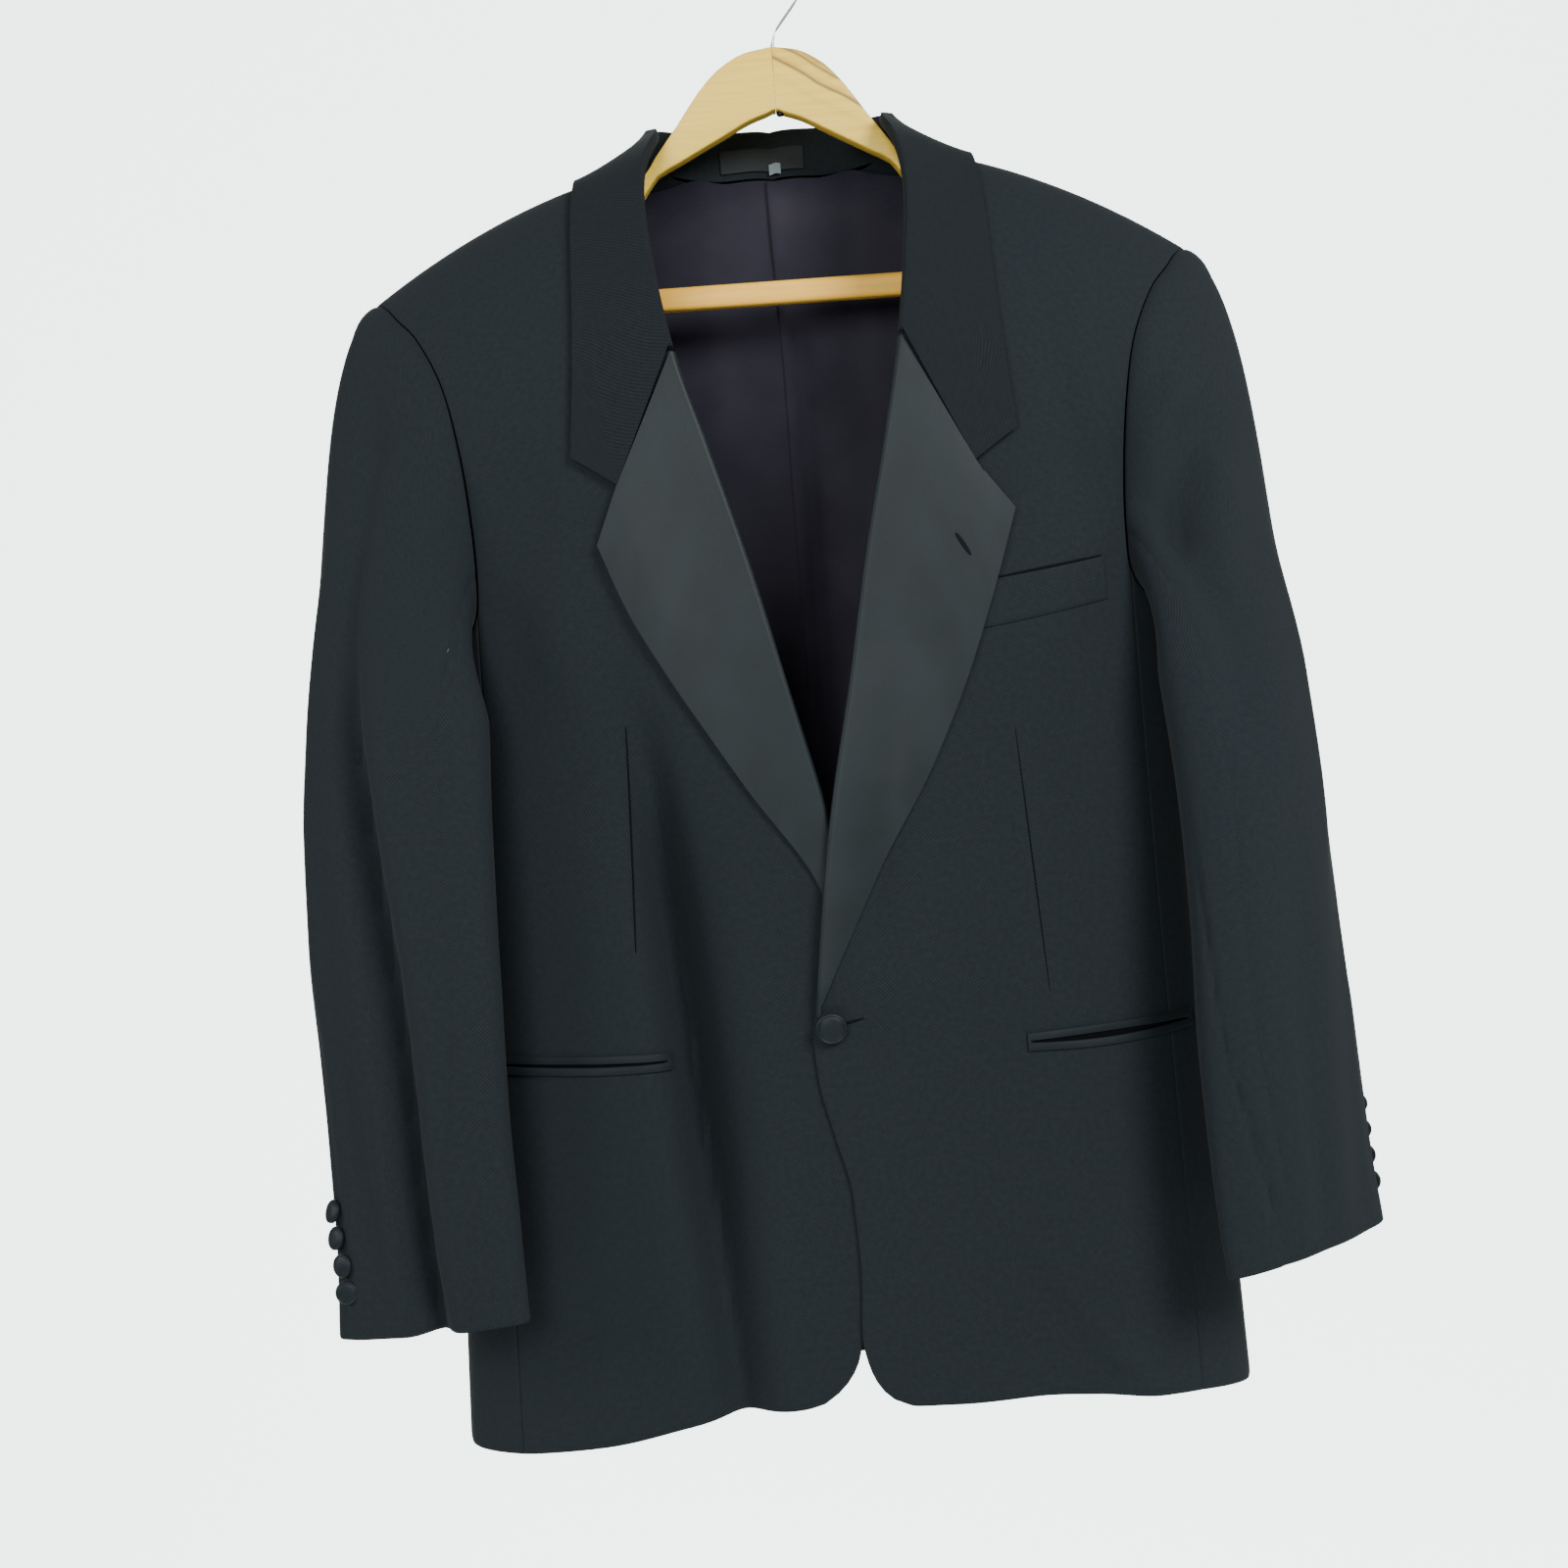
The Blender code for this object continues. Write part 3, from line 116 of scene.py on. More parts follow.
def table_row(table, key):
    """The same for all columns but the first."""
    return [table_value(table, key, column) for column in range(1, len(table[0]))]


def hermite(a, leave, b, arrive, t):
    """The smooth way from a to b that leaves and arrives at the given slopes."""
    return (a * (2 * t ** 3 - 3 * t ** 2 + 1) + leave * (t ** 3 - 2 * t ** 2 + t)
            + b * (3 * t ** 2 - 2 * t ** 3) + arrive * (t ** 3 - t ** 2))


def ease(t):
    """0 to 1 with level ends."""
    t = min(max(t, 0.0), 1.0)
    return t * t * (3 - 2 * t)


def mix(a, b, t):
    return a + (b - a) * t


def fractions(count):
    return [i / count for i in range(count + 1)]


def rounded(values, digits=3):
    return [round(v, digits) for v in values]


def size_mm(thing):
    return [round(v * 1000, 1) for v in thing.dimensions]


print("half way between 1 and 3:", mix(1, 3, ease(0.5)))

# %% [markdown]
# ## The form of the body
# On a hanger the chest keeps an oval section and the shoulders slope.  Each row gives a
# height, half the width, and the depth in front of and behind the hanger.

# %% Oval sections and the shoulder line
ROUNDNESS = 2.3         # power of the body's rounded oval section
SHOULDER_Z = -0.1538    # shoulder line where it is SHOULDER_X from the centre
SHOULDER_X = 0.139
SHOULDER_SLOPE = 0.3355
SHOULDER_CURVE = 1.383
FRONT_ROUNDING = 0.160  # height over which the shoulder turns into the front
BACK_ROUNDING = 0.100
NAPE_ROUNDING = 0.045   # the same at the back of the neck
NAPE_FROM_X, NAPE_RUN = 0.05, 0.11      # where and over what width one turns into the other
NAPE_LIFT = 0.018       # the back of the neck starts its rounding this much higher
NECK_X = 0.0885         # neck point on the shoulder line
NAPE_Z = -0.1450        # seam of the collar at the centre back
# Oval sections of the body, top to hem: z, half width, depth in front, depth behind.
BODY = (
    (-0.120, 0.330, 0.088, 0.040),
    (-0.220, 0.318, 0.092, 0.043),
    (-0.300, 0.292, 0.097, 0.045),
    (-0.380, 0.264, 0.100, 0.046),
    (-0.450, 0.2500, 0.101, 0.046),
    (-0.520, 0.2460, 0.100, 0.044),
    (-0.640, 0.2420, 0.098, 0.040),
    (-0.760, 0.2470, 0.096, 0.038),
    (-0.880, 0.2520, 0.094, 0.037),
    (-0.960, 0.2545, 0.092, 0.037),
)


def shoulder_z(x):
    """Height of the shoulder line, as a symmetric curve."""
    run = abs(x) - SHOULDER_X
    return SHOULDER_Z - SHOULDER_SLOPE * run - SHOULDER_CURVE * run * run


def rounding(x, face):
    if face < 0:
        return FRONT_ROUNDING
    return mix(NAPE_ROUNDING, BACK_ROUNDING, ease((abs(x) - NAPE_FROM_X) / NAPE_RUN))


def nape_lift(x, face):
    """How far the rounding starts above the shoulder line."""
    return NAPE_LIFT * (1 - ease(abs(x) / NECK_X)) if face > 0 else 0.0


print("shoulder line at the neck and at 0.25 m:", round(shoulder_z(NECK_X), 4), round(shoulder_z(0.25), 4))

# %% [markdown]
# ## Measuring down from the shoulder
# Cloth rolls over the shoulder and then hangs.  A place on it is best named by its
# distance from the centre and its drop from the shoulder line, measured along the cloth.

# %% From height to drop and back
def drop_of(x, z, face):
    """Way down from the shoulder line over the rounding, as a smooth measure of z."""
    high = rounding(x, face)
    fall = max(shoulder_z(x) + nape_lift(x, face) - z, 0.0)
    if fall < high:
        return acos(1 - fall / high) * high
    return high * pi / 2 + fall - high


def height_of(x, drop, face):
    """The z and the rounding share (0 at the shoulder line, 1 below it) of a drop."""
    high = rounding(x, face)
    top = shoulder_z(x) + nape_lift(x, face)
    if drop < high * pi / 2:
        angle = max(drop, 0.0) / high
        return top - high * (1 - cos(angle)), sin(angle)
    return top - high - (drop - high * pi / 2), 1.0


print("0.1 m of drop at the front lies at z", round(height_of(0.12, 0.1, -1)[0], 4))

# %% [markdown]
# ## Folds
# Hanging wool makes long soft folds, never sharp ones: a trough beside a ridge, wide as a
# finger or two.  Each fold is a line from a high to a low place with a half width and a
# depth.  The first rows are in the solids as well; the finer ones below are only here.

# %% Long folds and finer creases of the body
# Troughs + and ridges -: face, x and z at the top, x and z at the bottom, half width, depth
FOLDS = (
    (-1, -0.1330, -0.330, -0.0700, -0.935, 0.020, 0.0045),
    (-1, -0.1080, -0.470, -0.0725, -0.930, 0.0125, 0.0128),
    (-1, -0.1080, -0.470, -0.0740, -0.899, 0.0120, 0.0130),
    (-1, -0.0950, -0.500, -0.0680, -0.899, 0.034, 0.0100),
    (-1, -0.0620, -0.560, -0.0480, -0.930, 0.017, -0.0035),
    (-1, 0.0960, -0.620, 0.1200, -0.980, 0.026, 0.0030),
    (-1, -0.1750, -0.300, -0.1900, -0.520, 0.020, 0.0050),
    (-1, 0.1800, -0.300, 0.1950, -0.520, 0.022, 0.0030),
    (1, -0.1150, -0.300, -0.1400, -0.990, 0.028, 0.0050),
    (1, 0.1100, -0.330, 0.1300, -0.990, 0.030, 0.0055),
    (1, -0.0400, -0.420, -0.0550, -0.990, 0.024, -0.0030),
    # finer creases
    (-1, -0.0440, -0.640, -0.0380, -0.930, 0.014, -0.0016),
    (-1, 0.0500, -0.470, 0.0220, -0.690, 0.016, 0.0040),
    (-1, 0.0900, -0.800, 0.1550, -0.905, 0.010, -0.0042),
    (-1, -0.1450, -0.520, -0.1550, -0.900, 0.014, -0.0012),
    (-1, -0.1500, -0.250, -0.1660, -0.470, 0.011, 0.0016),
    (-1, -0.1700, -0.230, -0.1300, -0.420, 0.016, -0.0012),
    (-1, 0.0300, -0.735, 0.0050, -0.880, 0.012, -0.0015),
    (-1, 0.0560, -0.700, 0.0500, -0.935, 0.015, 0.0014),
    (-1, 0.1560, -0.480, 0.1600, -0.700, 0.013, 0.0012),
    (-1, 0.1680, -0.740, 0.1850, -0.940, 0.016, -0.0014),
    (-1, 0.1600, -0.240, 0.1780, -0.420, 0.012, 0.0016),
    (1, -0.1500, -0.230, -0.1050, -0.520, 0.018, 0.0020),
    (1, 0.1480, -0.230, 0.1000, -0.540, 0.018, 0.0020),
    (1, -0.0700, -0.520, -0.0800, -0.940, 0.016, 0.0016),
    (1, 0.0560, -0.480, 0.0660, -0.940, 0.018, 0.0018),
    (1, -0.1600, -0.560, -0.1700, -0.940, 0.014, -0.0015),
    (1, 0.1560, -0.500, 0.1650, -0.940, 0.016, -0.0015),
)
FOLD_END = 1.2          # a fold that reaches the hem runs on past its low place
FOLD_GROWS = 0.35       # share of its length over which a fold sets in
FOLD_FADES = 0.4        # and over which it dies away, unless it ends near the hem,
NEAR_HEM_Z = -0.9       # which is below this


def fold_depth(x, z, face):
    """How deep the body's cloth lies under its smooth form."""
    depth = 0.0
    for row_face, x0, z0, x1, z1, half_width, amount in FOLDS:
        t = (z0 - z) / (z0 - z1)
        if row_face != face or t < 0 or t > FOLD_END:
            continue
        grow = ease(t / FOLD_GROWS)
        if z1 > NEAR_HEM_Z:
            grow *= 1 - ease((t - 1 + FOLD_FADES) / FOLD_FADES)
        depth += amount * grow * exp(-((x - mix(x0, x1, t)) / half_width) ** 2)
    return depth


print("folds and creases of the body:", len(FOLDS))

# %% [markdown]
# ## A place on the cloth
# With the oval, the shoulder and the folds together, every place on the outside of the
# body has one point in space.  The left front lies on the right one below the crossing of
# the lapels, so it is lifted there by the thickness of what is under it.

# %% Points of the body
# How far the left front is lifted by what lies under it: z, lift
LAP_LIFT = ((-0.465, 0.0), (-0.555, 0.0074), (-0.670, 0.0076), (-0.708, CLOTH + 0.0012),
            (-0.750, CLOTH + 0.0006), (-0.960, CLOTH + 0.0005))
LAP_X, LAP_RUN = 0.035, 0.075       # where this lift starts to fade, and over what width
CALM_X, CALM_RUN = 0.165, 0.050     # the same for the folds, before the body turns the side


def overlap_lift(x, z):
    """The left front lies on the right one below the crossing of the roll lines."""
    return table_value(LAP_LIFT, z, 1) * (1 - ease((x - LAP_X) / LAP_RUN))


def body_point(x, drop, face, lifted=False):
    """A point of the body's outer skin; x is signed, face -1 is the front."""
    z, share = height_of(x, drop, face)
    half_width = table_value(BODY, z, 1)
    depth = table_value(BODY, z, 2 if face < 0 else 3)
    across = min(abs(x) / half_width, 1.0)
    y = depth * (1 - across ** ROUNDNESS) ** (1 / ROUNDNESS) * share
    calm = 1 - ease((abs(x) - CALM_X) / CALM_RUN)
    y -= fold_depth(x, z, face) * share * calm
    if lifted:
        y += overlap_lift(x, z)
    return Vector((x, y * face, z))


def body_normal(x, drop, face, lifted=False):
    step = 0.0015
    across = body_point(x + step, drop, face, lifted) - body_point(x - step, drop, face, lifted)
    down = body_point(x, drop + step, face, lifted) - body_point(x, max(drop - step, 0), face, lifted)
    return across.cross(down).normalized() * face


def skin(x, drop, face, lifted=False):
    """Point and normal of the body's outer skin."""
    return body_point(x, drop, face, lifted), body_normal(x, drop, face, lifted)


print("a point of the left chest:", rounded(body_point(0.12, 0.2, -1, True)))

# %% [markdown]
# ## Round the side
# Under the arm the oval turns the corner, where "distance from the centre" stops being
# useful.  There a place is named by its turn round the oval instead.

# %% Points of the side
def side_point(turn, z, sign):
    """A point of the side, turn in radians from the side (0) to the back (+) or front (-)."""
    half_width = table_value(BODY, z, 1)
    depth = table_value(BODY, z, 2 if turn < 0 else 3)
    power = 2 / ROUNDNESS
    y = depth * abs(sin(turn)) ** power * (-1 if turn < 0 else 1)
    return Vector((sign * half_width * cos(turn) ** power, y, z))


def turn_of(x, z, face):
    """The side's turn where the oval is x from the centre."""
    share = min(x / table_value(BODY, z, 1), 1.0)
    return acos(share ** (ROUNDNESS / 2)) * face


print("turn of the front side seam:", round(turn_of(0.2055, -0.428, -1), 3))

# %% [markdown]
# ## The armhole
# One closed seam joins body and sleeve, so both must read the same curve.  Its marks run
# from the shoulder tip down the front, under the arm and up the back.  Between marks we
# follow a smooth curve through the four nearest ones.

# %% Armhole marks and the curve through them
# Armhole, from the shoulder tip round the front, under the arm and up the back:
# x, z, face (-1 front, 1 back), and the place round the sleeve in degrees.
ARMHOLE = (
    (0.2647, -0.2179, -1, 0.0),
    (0.2500, -0.2290, -1, 10.0),
    (0.2330, -0.2500, -1, 24.0),
    (0.2170, -0.2850, -1, 44.0),
    (0.2080, -0.3300, -1, 72.0),
    (0.2040, -0.3750, -1, 108.0),
    (0.2035, -0.4050, -1, 140.0),
    (0.2055, -0.4280, -1, 172.0),
    (0.2140, -0.4420, -1, 202.0),
    (0.2290, -0.4520, -1, 234.0),
    (0.2430, -0.4575, -1, 264.0),
    (0.2500, -0.4580, 0, 283.0),
    (0.2430, -0.4520, 1, 297.0),
    (0.2300, -0.4300, 1, 309.0),
    (0.2240, -0.3850, 1, 321.0),
    (0.2250, -0.3350, 1, 332.0),
    (0.2310, -0.2850, 1, 342.0),
    (0.2420, -0.2480, 1, 350.0),
    (0.2530, -0.2300, 1, 356.0),
)
FRONT_SEAM, BACK_SEAM = 7, 13   # rows of ARMHOLE where the side seams begin
SIDE_FRONT_HEM_X = 0.2150       # where the side seams meet the hem
SIDE_BACK_HEM_X = 0.2080
MARKS = len(ARMHOLE)


def through(a, b, c, d, t):
    """A smooth curve from b to c that heads for them from a and leaves toward d."""
    return 0.5 * (2 * b + (c - a) * t + (2 * a - 5 * b + 4 * c - d) * t * t
                  + (3 * b - a - 3 * c + d) * t ** 3)


def mark(i):
    """Distance from the centre, drop (+ behind, - in front), turn and height of a mark."""
    x, z, face, _ = ARMHOLE[i % MARKS]
    drop = 0.0 if i % MARKS == 0 else drop_of(x, z, face or 1)
    return x, drop * (face or 1), turn_of(x, z, face) if face else 0.0, z


def arm_place(k):
    """The armhole at mark number k, which may lie between marks: kind, two coordinates."""
    i = int(k // 1)
    t = k - i
    near = [mark(i + n) for n in (-1, 0, 1, 2)]
    if FRONT_SEAM <= i % MARKS < BACK_SEAM:
        return "side", through(*(m[2] for m in near), t), through(*(m[3] for m in near), t)
    return "cap", through(*(m[0] for m in near), t), through(*(m[1] for m in near), t)


def arm_point(k, sign):
    kind, first, second = arm_place(k)
    if kind == "side":
        return side_point(first, second, sign)
    face = 1 if second > 0 else -1
    return body_point(first * sign, abs(second), face)


print("marks round the armhole:", MARKS)

# %% [markdown]
# ## From a net of points to a piece of cloth
# A pattern piece is a net of points on its outer side.  The cloth gets its thickness by
# moving a copy of the net inward, and closing the edges between the two.  The outermost
# line of points dips a little, because a sewn edge is pressed flat.  The UV map measures
# the cloth in metres along the net, so that a weave keeps its size.

# %% Directions across a net
def unit_normals(net, ring=False):
    """Normals of a net of points; ring says that each row closes on itself."""
    rows, columns = len(net), len(net[0])
    normals = []
    for r in range(rows):
        row = []
        for c in range(columns):
            if ring:
                across = net[r][(c + 1) % columns] - net[r][c - 1]
            else:
                across = net[r][min(c + 1, columns - 1)] - net[r][max(c - 1, 0)]
            down = net[min(r + 1, rows - 1)][c] - net[max(r - 1, 0)][c]
            row.append(across.cross(down).normalized())
        normals.append(row)
    return normals


def facing_out(net, normals, middle_y=-0.03):
    """The same normals, turned away from the body's upright middle line."""
    push = sum(n.dot(p - Vector((0, middle_y, p.z))) for ps, ns in zip(net, normals) for p, n in zip(ps, ns))
    return normals if push > 0 else [[-n for n in row] for row in normals]


print("normals ready")

# %% Lengths along a net, for the weave
def cloth_lengths(net, ring=False):
    """(u, v) in metres for every point, counted from the middle column and the first row."""
    rows, columns = len(net), len(net[0])
    middle = columns // 2
    spots = []
    for r in range(rows):
        run = [0.0]
        for c in range(1, columns + (1 if ring else 0)):
            run.append(run[-1] + (net[r][c % columns] - net[r][c - 1]).length)
        spots.append([u - run[middle] for u in run])
    fall = [0.0]
    for r in range(1, rows):
        fall.append(fall[-1] + (net[r][middle] - net[r - 1][middle]).length)
    return [[(u, -fall[r]) for u in spots[r]] for r in range(rows)]


print("lengths ready")

# %% Sew two nets and their edges into one closed piece
def sewn(name, outer, inner, material, ring=False, sharp=40):
    """A closed piece of cloth between two nets of the same size."""
    rows, columns = len(outer), len(outer[0])
    half = rows * columns
    steps = columns if ring else columns - 1
    spots = cloth_lengths(outer, ring)
    verts = [p for net in (outer, inner) for row in net for p in row]
    faces, uvs = [], []

    def corner(r, c, layer):
        return layer * half + r * columns + c % columns

    def add(*corners):
        faces.append([corner(*place) for place in corners])
        uvs.extend(spots[r][c] for r, c, _ in corners)

    for r in range(rows - 1):
        for c in range(steps):
            add((r, c, 0), (r, c + 1, 0), (r + 1, c + 1, 0), (r + 1, c, 0))
            add((r, c, 1), (r + 1, c, 1), (r + 1, c + 1, 1), (r, c + 1, 1))
    last = rows - 1
    for c in range(steps):
        add((0, c + 1, 0), (0, c, 0), (0, c, 1), (0, c + 1, 1))
        add((last, c, 0), (last, c + 1, 0), (last, c + 1, 1), (last, c, 1))
    if not ring:
        end = columns - 1
        for r in range(rows - 1):
            add((r, 0, 0), (r + 1, 0, 0), (r + 1, 0, 1), (r, 0, 1))
            add((r + 1, end, 0), (r, end, 0), (r, end, 1), (r + 1, end, 1))
    mesh = bpy.data.meshes.new(name)
    mesh.from_pydata(verts, [], faces)
    layer = mesh.uv_layers.new(name="UVMap")
    for i, spot in enumerate(uvs):
        layer.data[i].uv = spot
    if volume(mesh) < 0:
        mesh.flip_normals()
    mesh.shade_smooth()
    mesh.set_sharp_from_angle(angle=radians(sharp))
    mesh.materials.append(material)
    made = bpy.data.objects.new(name, mesh)
    bpy.context.scene.collection.objects.link(made)
    return made


def volume(mesh):
    """Six times the volume inside, negative if the faces point inward."""
    mesh.calc_loop_triangles()
    at = mesh.vertices
    return sum(at[t.vertices[0]].co.dot(at[t.vertices[1]].co.cross(at[t.vertices[2]].co))
               for t in mesh.loop_triangles)


print("sewing ready")

# %% Thickness with pressed edges
PRESS = {0: 0.00075, 1: 0.00025}    # how far the outermost two lines of the net dip


def cloth_piece(name, net, normals, thickness, material, ring=False, press=True, lift=0.0):
    """A piece of even cloth whose outer side is the net, its free edges pressed."""
    last_row, last_column = len(net) - 1, len(net[0]) - 1

    def dip(r, c):
        edge = min(r, last_row - r) if ring else min(r, last_row - r, c, last_column - c)
        return PRESS.get(edge, 0.0) if press else 0.0

    outer = [[p + n * (lift - dip(r, c)) for c, (p, n) in enumerate(zip(*rows))]
             for r, rows in enumerate(zip(net, normals))]
    inner = [[p + n * (lift - thickness) for p, n in zip(*rows)] for rows in zip(net, normals)]
    return sewn(name, outer, inner, material, ring)


def close_steps(count, hair=0.004):
    """0 to 1 in even steps, with two narrow ones at each end for the pressed edge."""
    near = hair * 3.2
    return [0.0, hair] + [mix(near, 1 - near, share) for share in fractions(count)] + [1 - hair, 1.0]


def split(rows):
    """Rows of (point, normal) as a net of points and a net of normals."""
    return [[p for p, _ in row] for row in rows], [[n for _, n in row] for row in rows]


print("narrow steps:", rounded(close_steps(4)))

# %% [markdown]
# ## Hand the pieces over
# Each finished piece rides on the jacket's one body and takes the place of its plain
# solid.  A sheet of cloth also prints how big it was cut and how much cloth it holds.

# %% Hand a finished piece over
def finish_piece(piece, nodes):
    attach(piece, "root")
    if nodes:
        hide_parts(*nodes)


def finish_cloth(piece, nodes, flat):
    finish_piece(piece, nodes)
    skin = sum(p.area for p in piece.data.polygons) / 2
    print(piece.name, "cut", flat, "cloth in the piece", round(skin, 4), "m2,",
          sum(len(p.vertices) - 2 for p in piece.data.polygons), "triangles")
    return piece

# %% [markdown]
# ## Colours and nodes
# Colours are written as sRGB, the way a screen shows them, and Blender wants them linear.
# One function turns them.  A second one adds a shader node with its settings and its
# links.  The others make what the materials below have in common.

# %% Helpers for every material
def colour(hex_code):
    parts = [int(hex_code[i:i + 2], 16) / 255 for i in (1, 3, 5)]
    return tuple(c / 12.92 if c <= 0.04045 else ((c + 0.055) / 1.055) ** 2.4 for c in parts) + (1.0,)


def add(tree, kind, settings=None, links=None):
    """A node of a kind: settings are properties or socket values, links are its inputs."""
    made = tree.nodes.new(kind)
    for name, value in (settings or {}).items():
        if isinstance(name, int) or name in made.inputs:
            made.inputs[name].default_value = value
        else:
            setattr(made, name, value)
    for name, output in (links or {}).items():
        tree.links.new(output, made.inputs[name])
    return made


def new_material(name, **sockets):
    """A material with one Principled shader; returns it, its tree and its shader."""
    made = bpy.data.materials.new(name)
    made.use_nodes = True
    shader = made.node_tree.nodes["Principled BSDF"]
    for socket, value in sockets.items():
        shader.inputs[socket.replace("_", " ")].default_value = value
    return made, made.node_tree, shader


def plain(name, tone, roughness, **sockets):
    """A material of one even colour."""
    return new_material(name, Base_Color=colour(tone), Roughness=roughness, **sockets)[0]


def tones(tree, share, low, dark, high, light):
    """A colour that runs from dark to light as a texture's share runs from low to high."""
    ramp = add(tree, "ShaderNodeValToRGB", links={"Fac": share})
    for stop, position, tone in zip(ramp.color_ramp.elements, (low, high), (dark, light)):
        stop.position = position
        stop.color = colour(tone)
    return ramp.outputs["Color"]


def cloth_look(tree, shader, pattern, noise, balance, stops, relief, height=None):
    """Colour and relief of a cloth from its pattern and a noise, mixed by a balance."""
    both = add(tree, "ShaderNodeMix", {"data_type": "FLOAT", "Factor": balance},
               {"A": pattern, "B": noise}).outputs["Result"]
    tree.links.new(tones(tree, both, *stops), shader.inputs["Base Color"])
    bump = add(tree, "ShaderNodeBump", relief, {"Height": height or both})
    tree.links.new(bump.outputs["Normal"], shader.inputs["Normal"])


print("wool black in linear light:", rounded(colour("#1E2226")[:3], 4))

# %% [markdown]
# ## Wool
# Dinner jackets are cut from worsted: combed wool, spun fine and woven as a twill, whose
# ribs climb at 45 degrees.  It is matt, with a short nap that catches light at a slant.
# The real rib is 0.5 mm wide, too fine to show in a render, so it is drawn at 1.6 mm.

# %% Worsted twill
RIB_MM = 1.6        # drawn three times as coarse as it is
SLUB_MM = 3.5       # slightly thicker yarns make soft flecks of about this length


def worsted(name, dark, light, roughness=0.88):
    made, tree, shader = new_material(name, Roughness=roughness, Sheen_Weight=0.02,
                                      Sheen_Roughness=0.5, Specular_IOR_Level=0.06)
    spots = {"Vector": add(tree, "ShaderNodeUVMap", {"uv_map": "UVMap"}).outputs["UV"]}
    rib_scale = 2 * pi / (10 * RIB_MM * 0.001 * sqrt(2))
    rib = add(tree, "ShaderNodeTexWave", {"bands_direction": "DIAGONAL", "Scale": rib_scale,
                                          "Distortion": 0.6, "Detail": 1.0}, spots)
    slub = add(tree, "ShaderNodeTexNoise", {"Scale": 1000 / SLUB_MM, "Detail": 3.0, "Roughness": 0.6},
               spots)
    cloth_look(tree, shader, rib.outputs["Fac"], slub.outputs["Fac"], 0.6, (0.25, dark, 0.75, light),
               {"Strength": 0.25, "Distance": 0.0003})
    return made


wool = worsted("black worsted twill, pressed", "#15191C", "#1E2427")
collar_wool = worsted("black worsted twill, fused and pressed", "#121619", "#1A1F22", 0.84)
print("materials:", wool.name, "and", collar_wool.name)

# %% [markdown]
# ## Satin
# Lapel satin floats its fine threads over the surface, which makes it smooth and gives a
# broad soft gleam in place of a sharp one.  Light runs along the threads, so the gleam is
# stretched.  A faint rib of the weft keeps it from looking like plastic.

# %% Facing satin
WEFT_MM = 1.2       # drawn twice as coarse as it is


def satin_cloth(name, dark, light, roughness, gloss=0.25, sheen=0.03):
    made, tree, shader = new_material(name, Roughness=roughness, Sheen_Weight=sheen,
                                      Sheen_Roughness=0.3, Specular_IOR_Level=gloss)
    spots = {"Vector": add(tree, "ShaderNodeUVMap", {"uv_map": "UVMap"}).outputs["UV"]}
    weft_scale = 2 * pi / (20 * WEFT_MM * 0.001)
    weft = add(tree, "ShaderNodeTexWave", {"bands_direction": "Y", "Scale": weft_scale,
                                           "Distortion": 0.4, "Detail": 1.0}, spots)
    cloud = add(tree, "ShaderNodeTexNoise", {"Scale": 22.0, "Detail": 2.0}, spots)
    cloth_look(tree, shader, weft.outputs["Fac"], cloud.outputs["Fac"], 0.75, (0.3, dark, 0.7, light),
               {"Strength": 0.15, "Distance": 0.0002}, height=weft.outputs["Fac"])
    return made


satin = satin_cloth("facing satin, woven and calendered", "#0F1618", "#141D20", 0.50, 0.18)
button_satin = satin_cloth("satin stretched over a button", "#0F1519", "#141B1F", 0.42, 0.14)
jet_satin = satin_cloth("narrow satin jet, folded", "#13191B", "#1B2124", 0.60, 0.08)
lining_cloth = satin_cloth("lining satin, dark plum black", "#1C1B25", "#27252F", 0.60, 0.08)
label_cloth = satin_cloth("woven label satin, black", "#181B1D", "#1E2224", 0.6, 0.1)
print("satins:", satin.name, "/", lining_cloth.name)

# %% [markdown]
# ## Small plain finishes
# Thread, the dark wool that paints shade, the black pocket cloth and the size tab are too small for a
# pattern.
# The wire is bright drawn steel, and the screw is the same, blackened.

# %% Thread, tab, pocket and steel
thread = plain("silk buttonhole thread, black", "#101417", 0.8, Specular_IOR_Level=0.02)
# Painted shade: wool darkened and without gloss, laid where dart seams, the front buttonhole's slit and the
# breast pocket's mouth only fall into shade.
shade_painted_wool = plain("wool darkened as painted shade of seams and slits", "#0E1113", 1.0, Specular_IOR_Level=0.0)
# The tab is white; its mid grey paints the shade that it lies in inside the collar.
shaded_tab_cloth = plain("white taffeta size tab, greyed as painted shade", "#596367", 0.8)
# Black pocket cotton, and painted shade: its darkness, without gloss, also stands for the shade in a pocket's
# mouth.
black_cotton_and_shade = plain("black pocket cotton, darkened as painted shade", "#0A0B0D", 1.0, Specular_IOR_Level=0.0)
steel = plain("drawn steel wire, bright", "#C3C7C8", 0.28, Metallic=1.0)
blackened = plain("steel screw, blackened", "#2A2B2C", 0.45, Metallic=1.0)
print("small finishes:", [m.name for m in (thread, shaded_tab_cloth, black_cotton_and_shade, steel, blackened)])

# %% [markdown]
# ## Wood
# The hanger is pale beech or lotus wood under clear lacquer.  One arm is plain; the other
# comes from near a knot, and brown streaks follow its arm.  Growth rings are stretched
# noise, a few millimetres wide, in the place of the piece itself.

# %% Lacquered wood, plain or figured
RING_MM = 3.2
STREAK_TILT = radians(31.8)         # the streaks fall outward along the arm
STREAK_REACH = (-0.075, -0.040)     # the part of the arm that the figured ramp covers, in metres
WANDER = 0.006                      # how far a streak strays across its line, in metres
# Place on the ramp and how brown it is there
STREAKS = ((0.00, 0.0), (0.12, 0.10), (0.20, 0.0), (0.35, 0.0), (0.40, 0.85), (0.445, 0.25),
           (0.52, 0.05), (0.60, 0.10), (0.645, 0.80), (0.68, 0.30), (0.74, 0.60), (0.79, 0.20),
           (0.86, 0.70), (0.93, 0.25), (1.0, 0.4))


